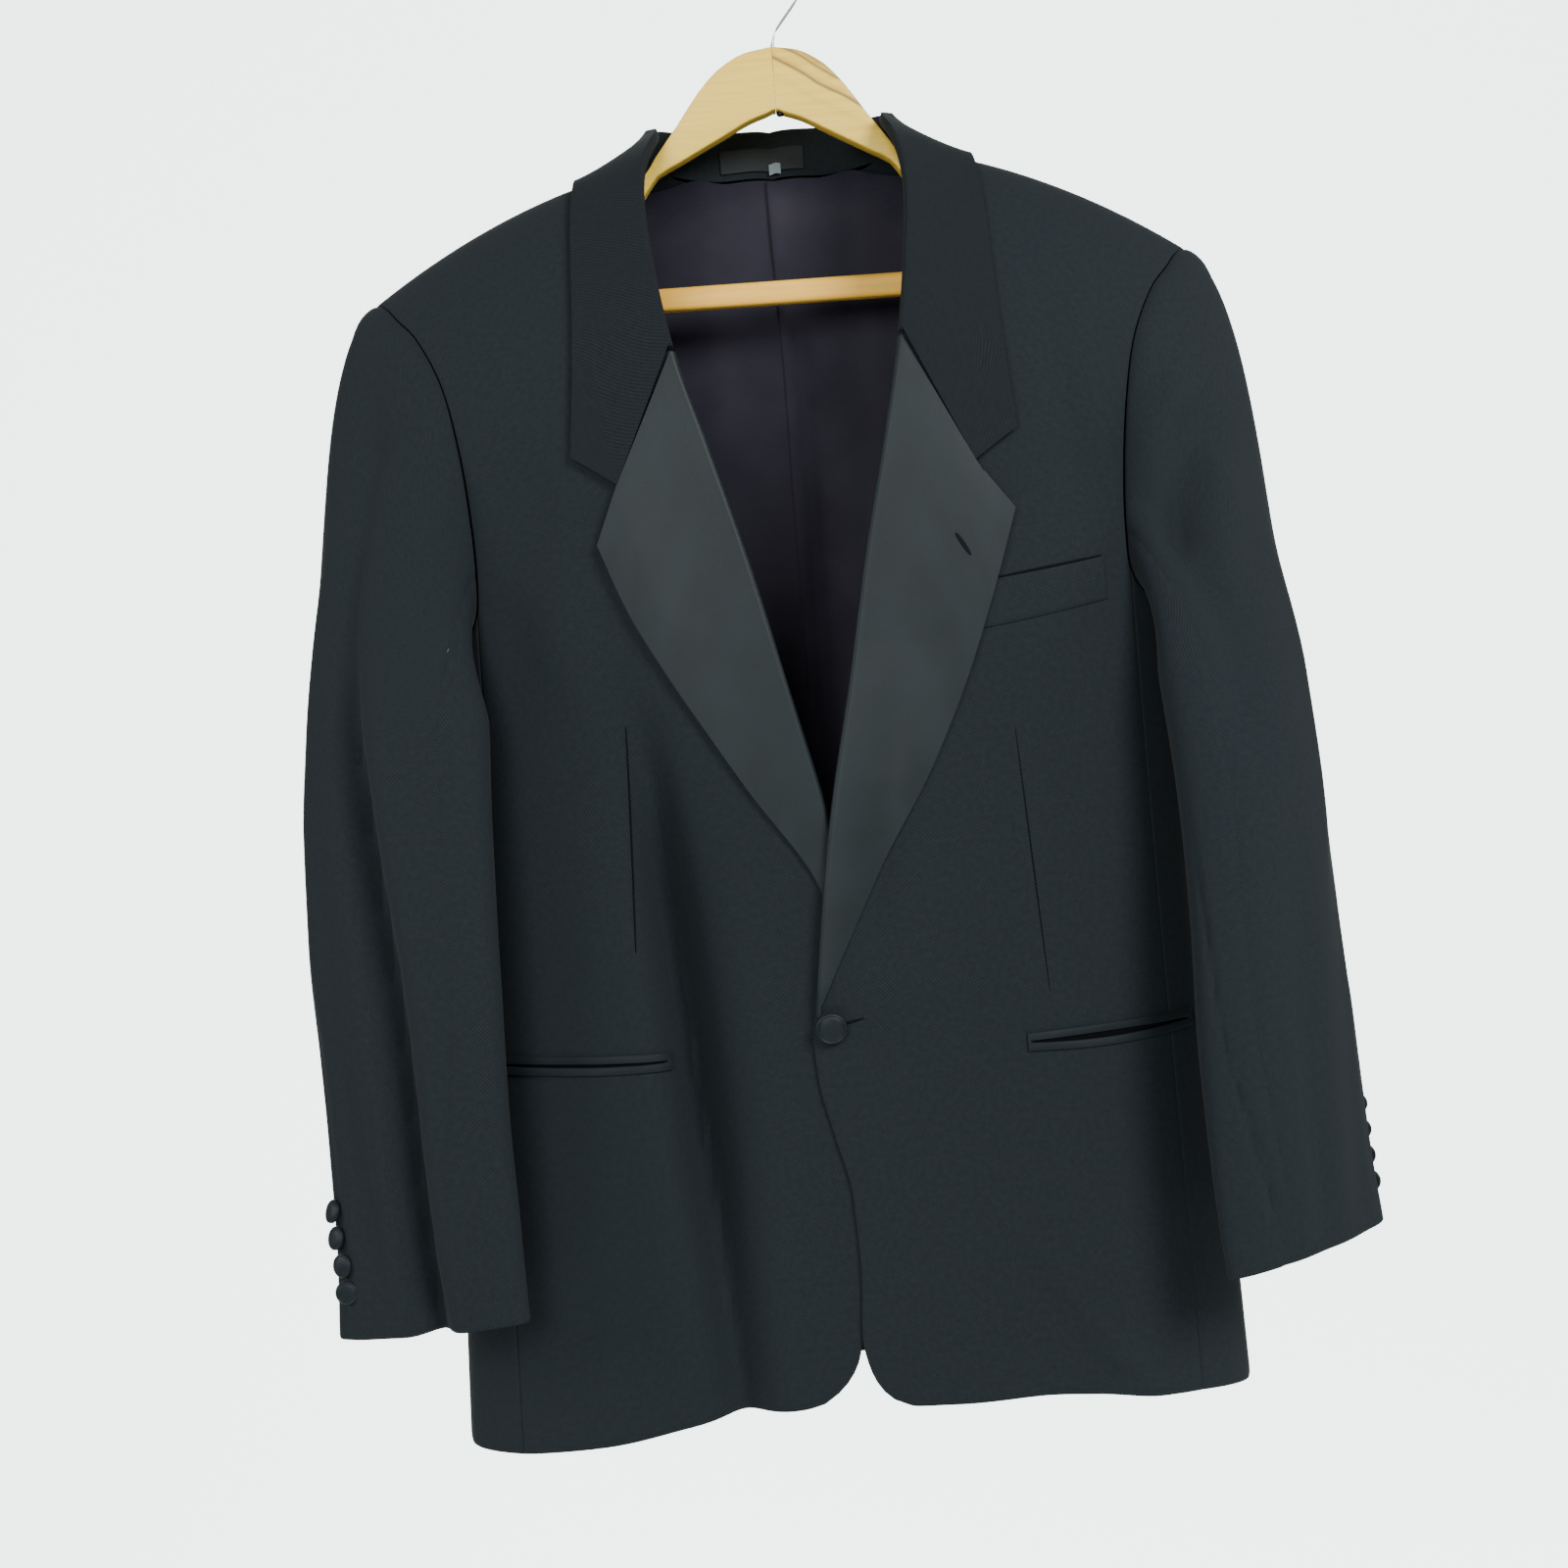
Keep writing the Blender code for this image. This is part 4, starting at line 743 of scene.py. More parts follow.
def lacquered(name, pale, ring, streak=None):
    made, tree, shader = new_material(name, Roughness=0.45, Coat_Weight=0.12, Coat_Roughness=0.3,
                                      Specular_IOR_Level=0.35)
    place = add(tree, "ShaderNodeTexCoord").outputs["Object"]
    grain = add(tree, "ShaderNodeMapping", {"Rotation": (0.0, STREAK_TILT, 0.0),
                                            "Scale": (0.06, 1.0, 1.0)}, {"Vector": place})
    rings = add(tree, "ShaderNodeTexNoise", {"Scale": 1000 / RING_MM, "Detail": 2.0},
                {"Vector": grain.outputs["Vector"]})
    result = tones(tree, rings.outputs["Fac"], 0.40, pale, 0.85, ring)
    if streak:
        result = streaked(tree, place, result, streak)
    tree.links.new(result, shader.inputs["Base Color"])
    return made


def streaked(tree, place, ground, streak):
    """The ground colour with brown lines along the arm."""
    across = add(tree, "ShaderNodeVectorMath",
                 {"operation": "DOT_PRODUCT", 1: (sin(STREAK_TILT), 0.0, cos(STREAK_TILT))}, {0: place})
    wander = add(tree, "ShaderNodeTexNoise", {"Scale": 28.0, "Detail": 2.0}, {"Vector": place})
    moved = add(tree, "ShaderNodeMath", {"operation": "MULTIPLY_ADD", 1: WANDER},
                {0: wander.outputs["Fac"], 2: across.outputs["Value"]})
    share = add(tree, "ShaderNodeMapRange", {"From Min": STREAK_REACH[0] + WANDER / 2,
                                             "From Max": STREAK_REACH[1] + WANDER / 2},
                {"Value": moved.outputs["Value"]})
    lines = add(tree, "ShaderNodeValToRGB", links={"Fac": share.outputs["Result"]})
    stops = lines.color_ramp.elements
    while len(stops) < len(STREAKS):
        stops.new(0.5)
    for stop, (position, brown) in zip(stops, STREAKS):
        stop.position = position
        stop.color = (brown, brown, brown, 1.0)
    mixed = add(tree, "ShaderNodeMix", {"data_type": "RGBA", 7: colour(streak)},
                {0: lines.outputs["Color"], 6: ground})
    return mixed.outputs[2]


plain_wood = lacquered("beech, clear lacquer, plain grain", "#DDBA44", "#CEA636")
figured_wood = lacquered("beech, clear lacquer, figured near a knot", "#DDBA44", "#CCA233", "#4A2A0C")
bar_wood = lacquered("beech dowel, clear lacquer", "#E6B13C", "#D59F30")
print("woods:", plain_wood.name, "/", figured_wood.name)

# %% [markdown]
# ## Fronts
# The tailor cuts each front from shoulder seam to hem, between the edge that the lapel
# rolls over and the side seam.  We lay down its four borders as (x, drop) and fill them in,
# close enough together for the folds, with extra lines along the edges for the pressing.

# %% Fill a panel between four borders
SIDES = {"right": -1, "left": 1}
# Roll line, then front edge: z, then its distance toward its own side, right and left.
OPENING = (
    (-0.140, 0.0855, 0.0855),
    (-0.156, 0.0838, 0.0818),
    (-0.190, 0.0810, 0.0790),
    (-0.230, 0.0766, 0.0745),
    (-0.280, 0.0680, 0.0672),
    (-0.333, 0.0532, 0.0562),
    (-0.404, 0.0336, 0.0396),
    (-0.482, 0.0152, 0.0240),
    (-0.570, -0.0050, 0.0052),
    (-0.640, -0.0150, -0.0060),
    (-0.686, -0.0175, -0.0118),
    (-0.704, -0.0175, -0.0142),
    (-0.728, -0.0172, -0.0129),
    (-0.764, -0.0150, -0.0053),
    (-0.801, -0.0120, 0.0029),
    (-0.849, -0.0080, 0.0048),
    (-0.890, -0.0030, 0.0028),
    (-0.905, 0.0005, 0.0052),
    (-0.920, 0.0104, 0.0112),
    (-0.929, 0.0230, 0.0200),
)
# Hem, from the front corner to the side: x, then the height on the right and the left
HEM = (
    (0.020, -0.9284, -0.9290),
    (0.034, -0.9312, -0.9342),
    (0.072, -0.9330, -0.9358),
    (0.108, -0.9398, -0.9360),
    (0.146, -0.9482, -0.9385),
    (0.190, -0.9540, -0.9452),
    (0.224, -0.9565, -0.9464),
    (0.254, -0.9545, -0.9415),
)
ROLL_SEAT = 0.0034      # the front's own edge stands back from the lapel's roll
ROLL_END_Z, ROLL_END_RUN = -0.672, 0.018    # below this, over this height, it no longer does
HEM_CROWDING = 1.35     # crowds the columns toward the rounded corner at the hem


def opening_x(z, side):
    return table_value(OPENING, z, 1 if side == "right" else 2)


def hem_z(x, side):
    return table_value(HEM, x, 1 if side == "right" else 2)


def seam_x(armhole_row, hem_x, t):
    return mix(ARMHOLE[armhole_row][0], hem_x, ease(t) * 0.5 + t * 0.5)


def coons(left, right, top, bottom, across, down):
    """Blend of four borders that share their corners, at the given shares from 0 to 1."""
    grid = []
    for v, a, b in zip(down, left, right):
        row = []
        for u, c, d in zip(across, top, bottom):
            row.append([(1 - u) * a[k] + u * b[k] + (1 - v) * c[k] + v * d[k]
                        - (1 - v) * ((1 - u) * left[0][k] + u * right[0][k])
                        - v * ((1 - u) * left[-1][k] + u * right[-1][k]) for k in (0, 1)])
        grid.append(row)
    return grid


STEPS = 6           # lines between two marks of the armhole
SEAM_SHARES = [i / 84 for i in range(1, 84)] + [0.994, 0.9985, 1.0]
print("front opening at the button:", round(opening_x(-0.697, "left"), 4))

# %% Both fronts
def arm_border(start, end, face):
    """(x, drop, share of the fall) down the armhole from one mark to another."""
    high, low = ARMHOLE[0][1], ARMHOLE[end][1]
    step = 1 if end > start else -1
    rows = []
    for i in range(abs(end - start) * STEPS + 1):
        k = start + step * i / STEPS
        x, drop = arm_place(k)[1:] if k != end else (ARMHOLE[end][0], drop_of(*ARMHOLE[end][:2], face))
        drop = max(abs(drop), SEAM_GAP)
        rows.append((x - SEAM_GAP / 2, drop, (high - height_of(x, drop, face)[0]) / (high - low)))
    return rows


def outer_border(start, end, hem_x, hem_low, top_z, bottom_z, face):
    """Border down the armhole and the side seam, and the heights of its rows' other ends."""
    low_z = ARMHOLE[end][1]
    arm = arm_border(start, end, face)
    border = [(x, drop) for x, drop, _ in arm]
    heights = [mix(top_z, low_z, share) for _, _, share in arm]
    for t in SEAM_SHARES:
        x = seam_x(end, hem_x, t) - BODY_GAP
        border.append((x, drop_of(x, mix(low_z, hem_low, t), face)))
        heights.append(mix(low_z, bottom_z, t))
    return border, heights


def front_net(side):
    outer, heights = outer_border(0, FRONT_SEAM, SIDE_FRONT_HEM_X, hem_z(SIDE_FRONT_HEM_X, side),
                                  shoulder_z(NECK_X), OPENING[-1][0], -1)
    edge = []
    for z in heights:
        x = opening_x(z, side) + ROLL_SEAT * (1 - ease((ROLL_END_Z - z) / ROLL_END_RUN))
        edge.append((x, drop_of(x, z, -1)))
    across = close_steps(52, 0.002)
    top = [(mix(NECK_X, outer[0][0], u), SEAM_GAP) for u in across]
    hem = []
    for u in across:
        x = mix(edge[-1][0], outer[-1][0], u ** HEM_CROWDING)
        hem.append((x, drop_of(x, hem_z(x, side), -1)))
    edge[0], hem[0], hem[-1] = top[0], edge[-1], outer[-1]
    return coons(edge, outer, top, hem, across, fractions(len(edge) - 1))


for side, sign in SIDES.items():
    rows = [[skin(x * sign, d, -1, side == "left") for x, d in row] for row in front_net(side)]
    piece = cloth_piece("front_panel_" + side, *split(rows), CLOTH, wool)
    finish_cloth(piece, ["front_" + side], (0.300, 0.830))

# %% [markdown]
# ## Back
# The back hangs from the collar and the shoulder blades.  It is cut in two halves, with a
# seam down the middle that takes in the waist.

# %% Both halves of the back
BACK_HEM_Z = -0.9275    # at the centre back
BACK_HEM_SIDE_Z = -0.9480
# Collar from the nape to the gorge: seam x and z, outer edge x and z, height of the
# stand, and the face that it lies on (1 back, 0 the shoulder line, -1 front).
COLLAR = (
    (0.0000, -0.1450, 0.0000, -0.1640, 0.0300, 1),
    (0.0300, -0.1446, 0.0460, -0.1648, 0.0300, 1),
    (0.0600, -0.1430, 0.0860, -0.1640, 0.0280, 1),
    (0.0800, -0.1405, 0.1130, -0.1582, 0.0240, 1),
    (0.0870, -0.1399, 0.1260, -0.1494, 0.0215, 0),
    (0.0866, -0.1460, 0.1280, -0.1650, 0.0185, -1),
    (0.0866, -0.1640, 0.1292, -0.1930, 0.0145, -1),
    (0.0826, -0.1950, 0.1298, -0.2310, 0.0085, -1),
    (0.0770, -0.2360, 0.1316, -0.2750, 0.0050, -1),
    (0.0716, -0.2745, 0.1370, -0.3375, 0.0032, -1),
)


def back_hem_z(x):
    return mix(BACK_HEM_Z, BACK_HEM_SIDE_Z, ease(x / 0.24))


def back_net():
    outer, heights = outer_border(MARKS, BACK_SEAM, SIDE_BACK_HEM_X, back_hem_z(SIDE_BACK_HEM_X),
                                  NAPE_Z, BACK_HEM_Z, 1)
    middle = [(BODY_GAP, drop_of(0.0, z, 1)) for z in heights]
    neck = [(max(row[0], BODY_GAP), drop_of(row[0], row[1], 1)) for row in COLLAR[:3]]
    neck += [(mix(NECK_X, outer[0][0], u), SEAM_GAP) for u in fractions(6)]
    neck = [(i / (len(neck) - 1), x, drop) for i, (x, drop) in enumerate(neck)]
    across = close_steps(44, 0.003)
    top = [table_row(neck, u) for u in across]
    hem = []
    for u in across:
        x = mix(middle[-1][0], outer[-1][0], u)
        hem.append((x, drop_of(x, back_hem_z(x), 1)))
    middle[0], middle[-1], hem[-1] = top[0], hem[0], outer[-1]
    return coons(middle, outer, top, hem, across, fractions(len(middle) - 1))


places = back_net()
for side, sign in SIDES.items():
    rows = [[skin(x * sign, d, 1) for x, d in row] for row in places]
    piece = cloth_piece("back_half_" + side, *split(rows), CLOTH, wool)
    finish_cloth(piece, ["back_" + side], (0.270, 0.830))

# %% [markdown]
# ## Sides
# A dinner jacket has a narrow panel under each arm, so that no seam runs down the middle
# of the side.  Its top is the lowest part of the armhole.  It hangs free under the arm and
# takes a shallow hollow from the sleeve that leans on it.

# %% Both side panels
SIDE_END = BACK_SEAM - 0.0001   # the armhole's lowest part ends just before the back's begins
SIDE_SAG = 0.0040               # how much lower the hem hangs in the middle
SIDE_HOLLOW = 0.0018            # depth of the hollow from the sleeve, and of a ripple in it
SIDE_RIPPLE = 0.0009


def side_net(side, sign):
    down = [0.0, 0.004] + [mix(0.012, 0.988, share) for share in fractions(88)] + [0.996, 1.0]
    front_top_z, back_top_z = ARMHOLE[FRONT_SEAM][1], ARMHOLE[BACK_SEAM][1]
    front_end, back_end = arm_place(FRONT_SEAM)[1], arm_place(SIDE_END)[1]
    net = []
    for t in down:
        front_z = mix(front_top_z, hem_z(SIDE_FRONT_HEM_X, side), t)
        back_z = mix(back_top_z, back_hem_z(SIDE_BACK_HEM_X), t)
        front_turn = turn_of(seam_x(FRONT_SEAM, SIDE_FRONT_HEM_X, t), front_z, -1)
        back_turn = turn_of(seam_x(BACK_SEAM, SIDE_BACK_HEM_X, t), back_z, 1)
        row = []
        for u in close_steps(34, 0.004):
            _, top_turn, top_z = arm_place(min(mix(FRONT_SEAM, BACK_SEAM, u), SIDE_END))
            turn = mix(front_turn, back_turn, u) + (top_turn - mix(front_end, back_end, u)) * (1 - t)
            z = mix(front_z, back_z, u) + (top_z - mix(front_top_z, back_top_z, u)) * (1 - t) ** 2
            z -= SIDE_SAG * sin(pi * u) * t
            turn += BODY_GAP / table_value(BODY, z, 2) * (1 - 2 * u)
            hollow = SIDE_HOLLOW * sin(pi * u) ** 2 * sin(pi * min(t * 1.6, 1.0)) ** 2
            hollow += SIDE_RIPPLE * sin(pi * u) * sin(pi * t) * sin(5 * pi * u + 2 * t)
            row.append(side_point(turn, z, sign) - Vector((sign * hollow, 0, 0)))
        net.append(row)
    return net


for side, sign in SIDES.items():
    net = side_net(side, sign)
    piece = cloth_piece("side_panel_" + side, net, facing_out(net, unit_normals(net)), CLOTH, wool)
    finish_cloth(piece, ["side_" + side], (0.150, 0.520))

# %% [markdown]
# ## Sleeves
# A tailored sleeve is two long pieces, a wider top one and a narrow one under the arm,
# joined by the forearm seam and the elbow seam.  Its head is eased into the armhole over a
# strip of wadding, so it swells a little before it drops.  Empty, it hangs flat and turned
# toward the front.

# %% Sections of the hanging sleeve
# Sections of the sleeves below the arm: z, the middle's x and y, half the width seen
# from the front, half the thickness, and the turn of the section in degrees.
SLEEVE = {
    "right": (
        (-0.500, 0.2595, -0.0690, 0.0605, 0.0350, 34.0),
        (-0.560, 0.2627, -0.0745, 0.0617, 0.0350, 32.0),
        (-0.650, 0.2642, -0.0790, 0.0623, 0.0330, 30.0),
        (-0.750, 0.2625, -0.0820, 0.0601, 0.0290, 26.0),
        (-0.810, 0.2610, -0.0830, 0.0605, 0.0250, 23.0),
        (-0.868, 0.2614, -0.0830, 0.0625, 0.0190, 20.0),
    ),
    "left": (
        (-0.500, 0.2640, -0.0670, 0.0500, 0.0325, 42.0),
        (-0.560, 0.2680, -0.0740, 0.0495, 0.0330, 42.0),
        (-0.650, 0.2717, -0.0830, 0.0520, 0.0320, 40.0),
        (-0.720, 0.2728, -0.0870, 0.0550, 0.0290, 36.0),
        (-0.800, 0.2760, -0.0880, 0.0553, 0.0240, 34.0),
        (-0.856, 0.2808, -0.0870, 0.0556, 0.0190, 33.0),
    ),
}
CUFF_TILT = {"right": 0.086, "left": -0.150}    # rise of the cuff per metre outward
FOREARM_SEAM = 6                # row of ARMHOLE where the front sleeve seam runs
ELBOW_SEAM = 16                 # and the back one
BUTTON_ROW = 17                 # the left cuff's buttons sit just before it
SEAM_TWIST = 30.0               # degrees that the forearm seam comes forward by the cuff,
TWIST_FROM_Z, TWIST_RUN = -0.62, 0.24   # below this and over this height
TIP_OUT = (0.75, -0.05, 0.66)   # the way that the tip of the shoulder faces


def sleeve_section(side, z, angle):
    """A point of the sleeve below the arm, at an angle from its outer edge."""
    sign = SIDES[side]
    centre_x, centre_y, view, thick, turn = table_row(SLEEVE[side], z)
    lean = radians(turn)
    long_half = sqrt(view ** 2 - (thick * sin(lean)) ** 2) / cos(lean)
    twist = SEAM_TWIST * ease((TWIST_FROM_Z - z) / TWIST_RUN) * (1 - cos(radians(angle))) / 2
    a = radians(angle - twist)
    along = long_half * cos(a)
    depth = thick * sin(a)
    # The outer end leans back, the inner end forward, the front is -Y.
    x = centre_x + along * cos(lean) + depth * sin(lean)
    y = centre_y + along * sin(lean) - depth * cos(lean)
    return Vector((sign * x, y, z))


def mark_out(i, sign):
    """The way that the body faces at a mark of the armhole."""
    x, z, face, _ = ARMHOLE[i % MARKS]
    if i % MARKS == 0:
        return Vector((TIP_OUT[0] * sign, *TIP_OUT[1:]))
    if face == 0 or z < -0.44:
        turn = turn_of(x, z, face) if face else 0.0
        across = side_point(turn + 0.01, z, sign) - side_point(turn - 0.01, z, sign)
        down = side_point(turn, z - 0.002, sign) - side_point(turn, z + 0.002, sign)
        return down.cross(across).normalized() * sign
    return body_normal(x * sign, drop_of(x, z, face), face)


def round_the_arm(k, sign):
    """At mark number k: the angle round the sleeve, the seam's point and the way out."""
    i, t = int(k // 1), k % 1
    near = range(i - 1, i + 3)
    angle = through(*(ARMHOLE[n % MARKS][3] + 360.0 * (n // MARKS) for n in near), t)
    outs = [mark_out(n, sign) for n in near]
    out = Vector([through(*(o[axis] for o in outs), t) for axis in range(3)])
    return angle, arm_point(k, sign), out.normalized()


print("half way to the second mark:", rounded(round_the_arm(0.5, 1)[1]))

# %% Folds of the sleeves
# The same on the sleeves: side, z and angle at the top, z and angle at the bottom, half
# width in degrees, depth
SLEEVE_FOLDS = (
    ("right", -0.360, 42.0, -0.900, 84.0, 20.0, 0.0060),
    ("right", -0.330, 20.0, -0.700, 30.0, 18.0, -0.0030),
    ("left", -0.300, 92.0, -0.560, 128.0, 18.0, 0.0055),
    ("left", -0.560, 40.0, -0.880, 62.0, 24.0, 0.0040),
    # finer creases
    ("right", -0.225, 76.0, -0.345, 30.0, 11.0, 0.0042),
    ("right", -0.255, 96.0, -0.380, 52.0, 10.0, 0.0030),
    ("right", -0.300, 104.0, -0.420, 76.0, 10.0, -0.0014),
    ("right", -0.235, 8.0, -0.520, 80.0, 9.0, 0.0075),
    ("right", -0.400, 66.0, -0.940, 130.0, 11.0, 0.0205),
    ("right", -0.360, 86.0, -0.920, 152.0, 10.0, -0.0030),
    ("right", -0.360, 40.0, -0.900, 100.0, 11.0, -0.0026),
    ("right", -0.520, 20.0, -0.900, 40.0, 10.0, 0.0014),
    ("right", -0.420, 116.0, -0.700, 132.0, 12.0, 0.0018),
    ("right", -0.300, 300.0, -0.760, 286.0, 16.0, 0.0030),
    ("left", -0.300, 34.0, -0.392, 118.0, 12.0, -0.0060),
    ("left", -0.312, 28.0, -0.430, 119.0, 11.0, 0.0095),
    ("left", -0.345, 30.0, -0.460, 112.0, 12.0, -0.0040),
    ("left", -0.260, 40.0, -0.400, 62.0, 9.0, -0.0014),
    ("left", -0.380, 34.0, -0.640, 60.0, 12.0, -0.0016),
    ("left", -0.560, 92.0, -0.880, 112.0, 12.0, 0.0034),
    ("left", -0.620, 18.0, -0.860, 30.0, 10.0, 0.0014),
    ("left", -0.560, 190.0, -0.900, 142.0, 3.4, 0.0020),
    ("left", -0.300, 300.0, -0.760, 284.0, 16.0, 0.0030),
)
SLEEVE_GROWS, SLEEVE_FADES = 0.3, 0.2       # shares of its length over which a fold comes and goes


def sleeve_fold(side, z, angle):
    """How deep the sleeve's cloth lies under its smooth form."""
    depth = 0.0
    for row_side, z0, a0, z1, a1, half_width, amount in SLEEVE_FOLDS:
        if row_side != side or z > z0 or z < z1:
            continue
        t = (z0 - z) / (z0 - z1)
        away = (angle - mix(a0, a1, t) + 180) % 360 - 180
        depth += (amount * ease(t / SLEEVE_GROWS) * ease((1 - t) / SLEEVE_FADES)
                  * exp(-(away / half_width) ** 2))
    return depth


print("folds and creases of the sleeves:", len(SLEEVE_FOLDS))

# %% The whole sleeve as one tube
SLEEVE_STEPS = 7        # columns between two marks
HEAD_ROWS, LENGTH_ROWS = 30, 84
HEAD_WAY = (0.75, -0.10, -0.42)     # the way that the cloth leaves the tip of the shoulder
HEAD_SWELL = 0.0012     # how much the wadding lifts it there
HEAD_CROWDING = 1.25    # crowds the rings toward the armhole
SLEEVE_GAP = SEAM_GAP * 0.08    # from a sleeve's long seam to the cloth beside it
FOLD_RINGS = 12         # rings below the armhole over which the folds set in


def head_row(start, out, end, below, angle, sign, t):
    """From the armhole to the free sleeve, leaving level and arriving upright."""
    reach = (end - start).length
    topness = (1 + cos(radians(angle))) / 2
    leave = out * mix(0.40, 0.0, topness) * reach
    leave += Vector((HEAD_WAY[0] * sign, *HEAD_WAY[1:])) * topness * reach * 0.55
    arrive = below * reach * mix(0.8, 1.05, topness)
    swell = HEAD_SWELL * topness * sin(pi * min(t / 0.16, 1.0))
    return hermite(start, leave, end, arrive, t) + out * swell


def sleeve_tube(side):
    """Rings of points from armhole to cuff, their normals and the angle of each column."""
    sign, rows = SIDES[side], SLEEVE[side]
    join_z, cuff_z = rows[0][0], rows[-1][0]
    columns = [round_the_arm(j / SLEEVE_STEPS, sign) for j in range(MARKS * SLEEVE_STEPS)]
    angles = [angle for angle, _, _ in columns]
    ends = [sleeve_section(side, join_z, a) for a in angles]
    ways = [(sleeve_section(side, join_z - 0.05, a) - end).normalized() for a, end in zip(angles, ends)]
    rings = []
    for share in fractions(HEAD_ROWS):
        t = share ** HEAD_CROWDING
        rings.append([head_row(start, out, end, way, a, sign, t)
                      for (a, start, out), end, way in zip(columns, ends, ways)])
    for t in [i / LENGTH_ROWS for i in range(1, LENGTH_ROWS)] + [0.9935, 0.998, 1.0]:
        ring = [sleeve_section(side, mix(join_z, cuff_z, t), a) for a in angles]
        for point in ring:
            point.z -= CUFF_TILT[side] * (abs(point.x) - rows[-1][1]) * t ** 3
        rings.append(ring)
    normals = facing_out_of_tube(rings, unit_normals(rings, ring=True))
    rings = [[p - n * sleeve_fold(side, p.z, a) * ease(k / FOLD_RINGS) for p, n, a in zip(ps, ns, angles)]
             for k, (ps, ns) in enumerate(zip(rings, normals))]
    hole = sum(rings[0], Vector()) / len(rings[0])
    rings[0] = [p + (hole - p).normalized() * SEAM_GAP * 0.6 for p in rings[0]]
    return rings, facing_out_of_tube(rings, unit_normals(rings, ring=True))


def facing_out_of_tube(rings, normals):
    """The same normals, turned away from the middle of the tube's last rings."""
    last = rings[-8]
    middle = sum(last, Vector()) / len(last)
    push = sum(n.dot(p - middle) for p, n in zip(last, normals[-8]))
    return normals if push > 0 else [[-n for n in row] for row in normals]


tubes = {side: sleeve_tube(side) for side in SIDES}
print("rings:", len(tubes["left"][0]), "columns:", len(tubes["left"][0][0]))

# %% Cut each tube into a top sleeve and an under sleeve
def sleeve_piece(name, side, first, last, flat, nodes):
    rings, normals = tubes[side]
    count = len(rings[0])
    columns = [j % count for j in range(first * SLEEVE_STEPS, last * SLEEVE_STEPS + 1)]
    net, norms = [], []
    for ring, normal in zip(rings, normals):
        row = [ring[j].copy() for j in columns]
        row[0] += (ring[columns[1]] - ring[columns[0]]).normalized() * SLEEVE_GAP
        row[-1] += (ring[columns[-2]] - ring[columns[-1]]).normalized() * SLEEVE_GAP
        net.append(row)
        norms.append([normal[j] for j in columns])
    finish_cloth(cloth_piece(name, net, norms, CLOTH, wool), nodes, flat)


for side in SIDES:
    sleeve_piece("sleeve_top_" + side, side, ELBOW_SEAM, FOREARM_SEAM + MARKS, (0.240, 0.660),
                 ["top_sleeve_" + side])
    sleeve_piece("sleeve_under_" + side, side, FOREARM_SEAM, ELBOW_SEAM, (0.190, 0.580),
                 ["under_sleeve_" + side])

# %% [markdown]
# ## Lapels
# The satin facing starts inside the front, turns round the edge where the lapel rolls
# over, and lies out on the chest as far as its point.  Its roll is soft, so the lapel
# stands a few millimetres proud at the top and settles down toward the button.

# %% A strip of cloth through a row of sections
# Edge from its point down to where the roll ends: right x and z, left x and z
LAPEL = (
    (0.1242, -0.3923, 0.1318, -0.3872),
    (0.1080, -0.4340, 0.1153, -0.4364),
    (0.0866, -0.4759, 0.0953, -0.4889),
    (0.0438, -0.5479, 0.0672, -0.5468),
    (0.0040, -0.6110, 0.0297, -0.6101),
    (-0.0110, -0.6640, -0.0112, -0.6900),
)
NOTCH = (0.1095, -0.3585)       # where lapel and collar part
GORGE_Z = -0.2772       # top of the lapel at the roll line, just under the collar
LAPEL_GAP = 0.0007      # the facing's clearance from the front, outside and inside
FACING = 0.013          # how far the facing shows behind the roll


def front_place(side, x, z):
    """Point and normal of the front's outer skin."""
    return skin(x * SIDES[side], drop_of(x, z, -1), -1, side == "left")


def lapel_edge(side, t):
    column = 0 if side == "right" else 2
    rows = [(i / (len(LAPEL) - 1), row[column], row[column + 1]) for i, row in enumerate(LAPEL)]
    return table_row(rows, t)


def strip_piece(name, sections, thickness, material):
    """Cloth round both sides of the middle line of each section."""
    return cloth_piece(name, sections, unit_normals(sections), thickness, material, press=False,
                       lift=thickness / 2)


def toward_notch(share, notch_share, start, notch, end, bend):
    """From start to end, straight (bend 0) or over the notch, met at its share (bend 1)."""
    if share <= notch_share:
        over = [mix(a, b, share / notch_share) for a, b in zip(start, notch)]
    else:
        over = [mix(a, b, (share - notch_share) / (1 - notch_share)) for a, b in zip(notch, end)]
    return [mix(mix(a, b, share), c, bend) for a, b, c in zip(start, end, over)]


print("lapel point of the left side:", lapel_edge("left", 0.0))

# %% Both lapels
LAPEL_SHARES = [0.0, 0.04, 0.10, 0.17, 0.24, 0.31, 0.38, 0.45, 0.52, 0.58, 0.64, 0.69, 0.74, 0.78,
                0.82, 0.86, 0.90, 0.94, 0.975, 0.993, 1.0]
ROLL_SHARES = (0.10, 0.20, 0.32, 0.44, 0.56, 0.68, 0.80, 0.90)
LAPEL_NOTCH_SHARE = 0.78    # the notch's place between the roll and the lapel's point
LAPEL_PROUD = 0.0048        # how far the soft roll holds the lapel off the chest at the top
LAPEL_RIPPLE = 0.0009


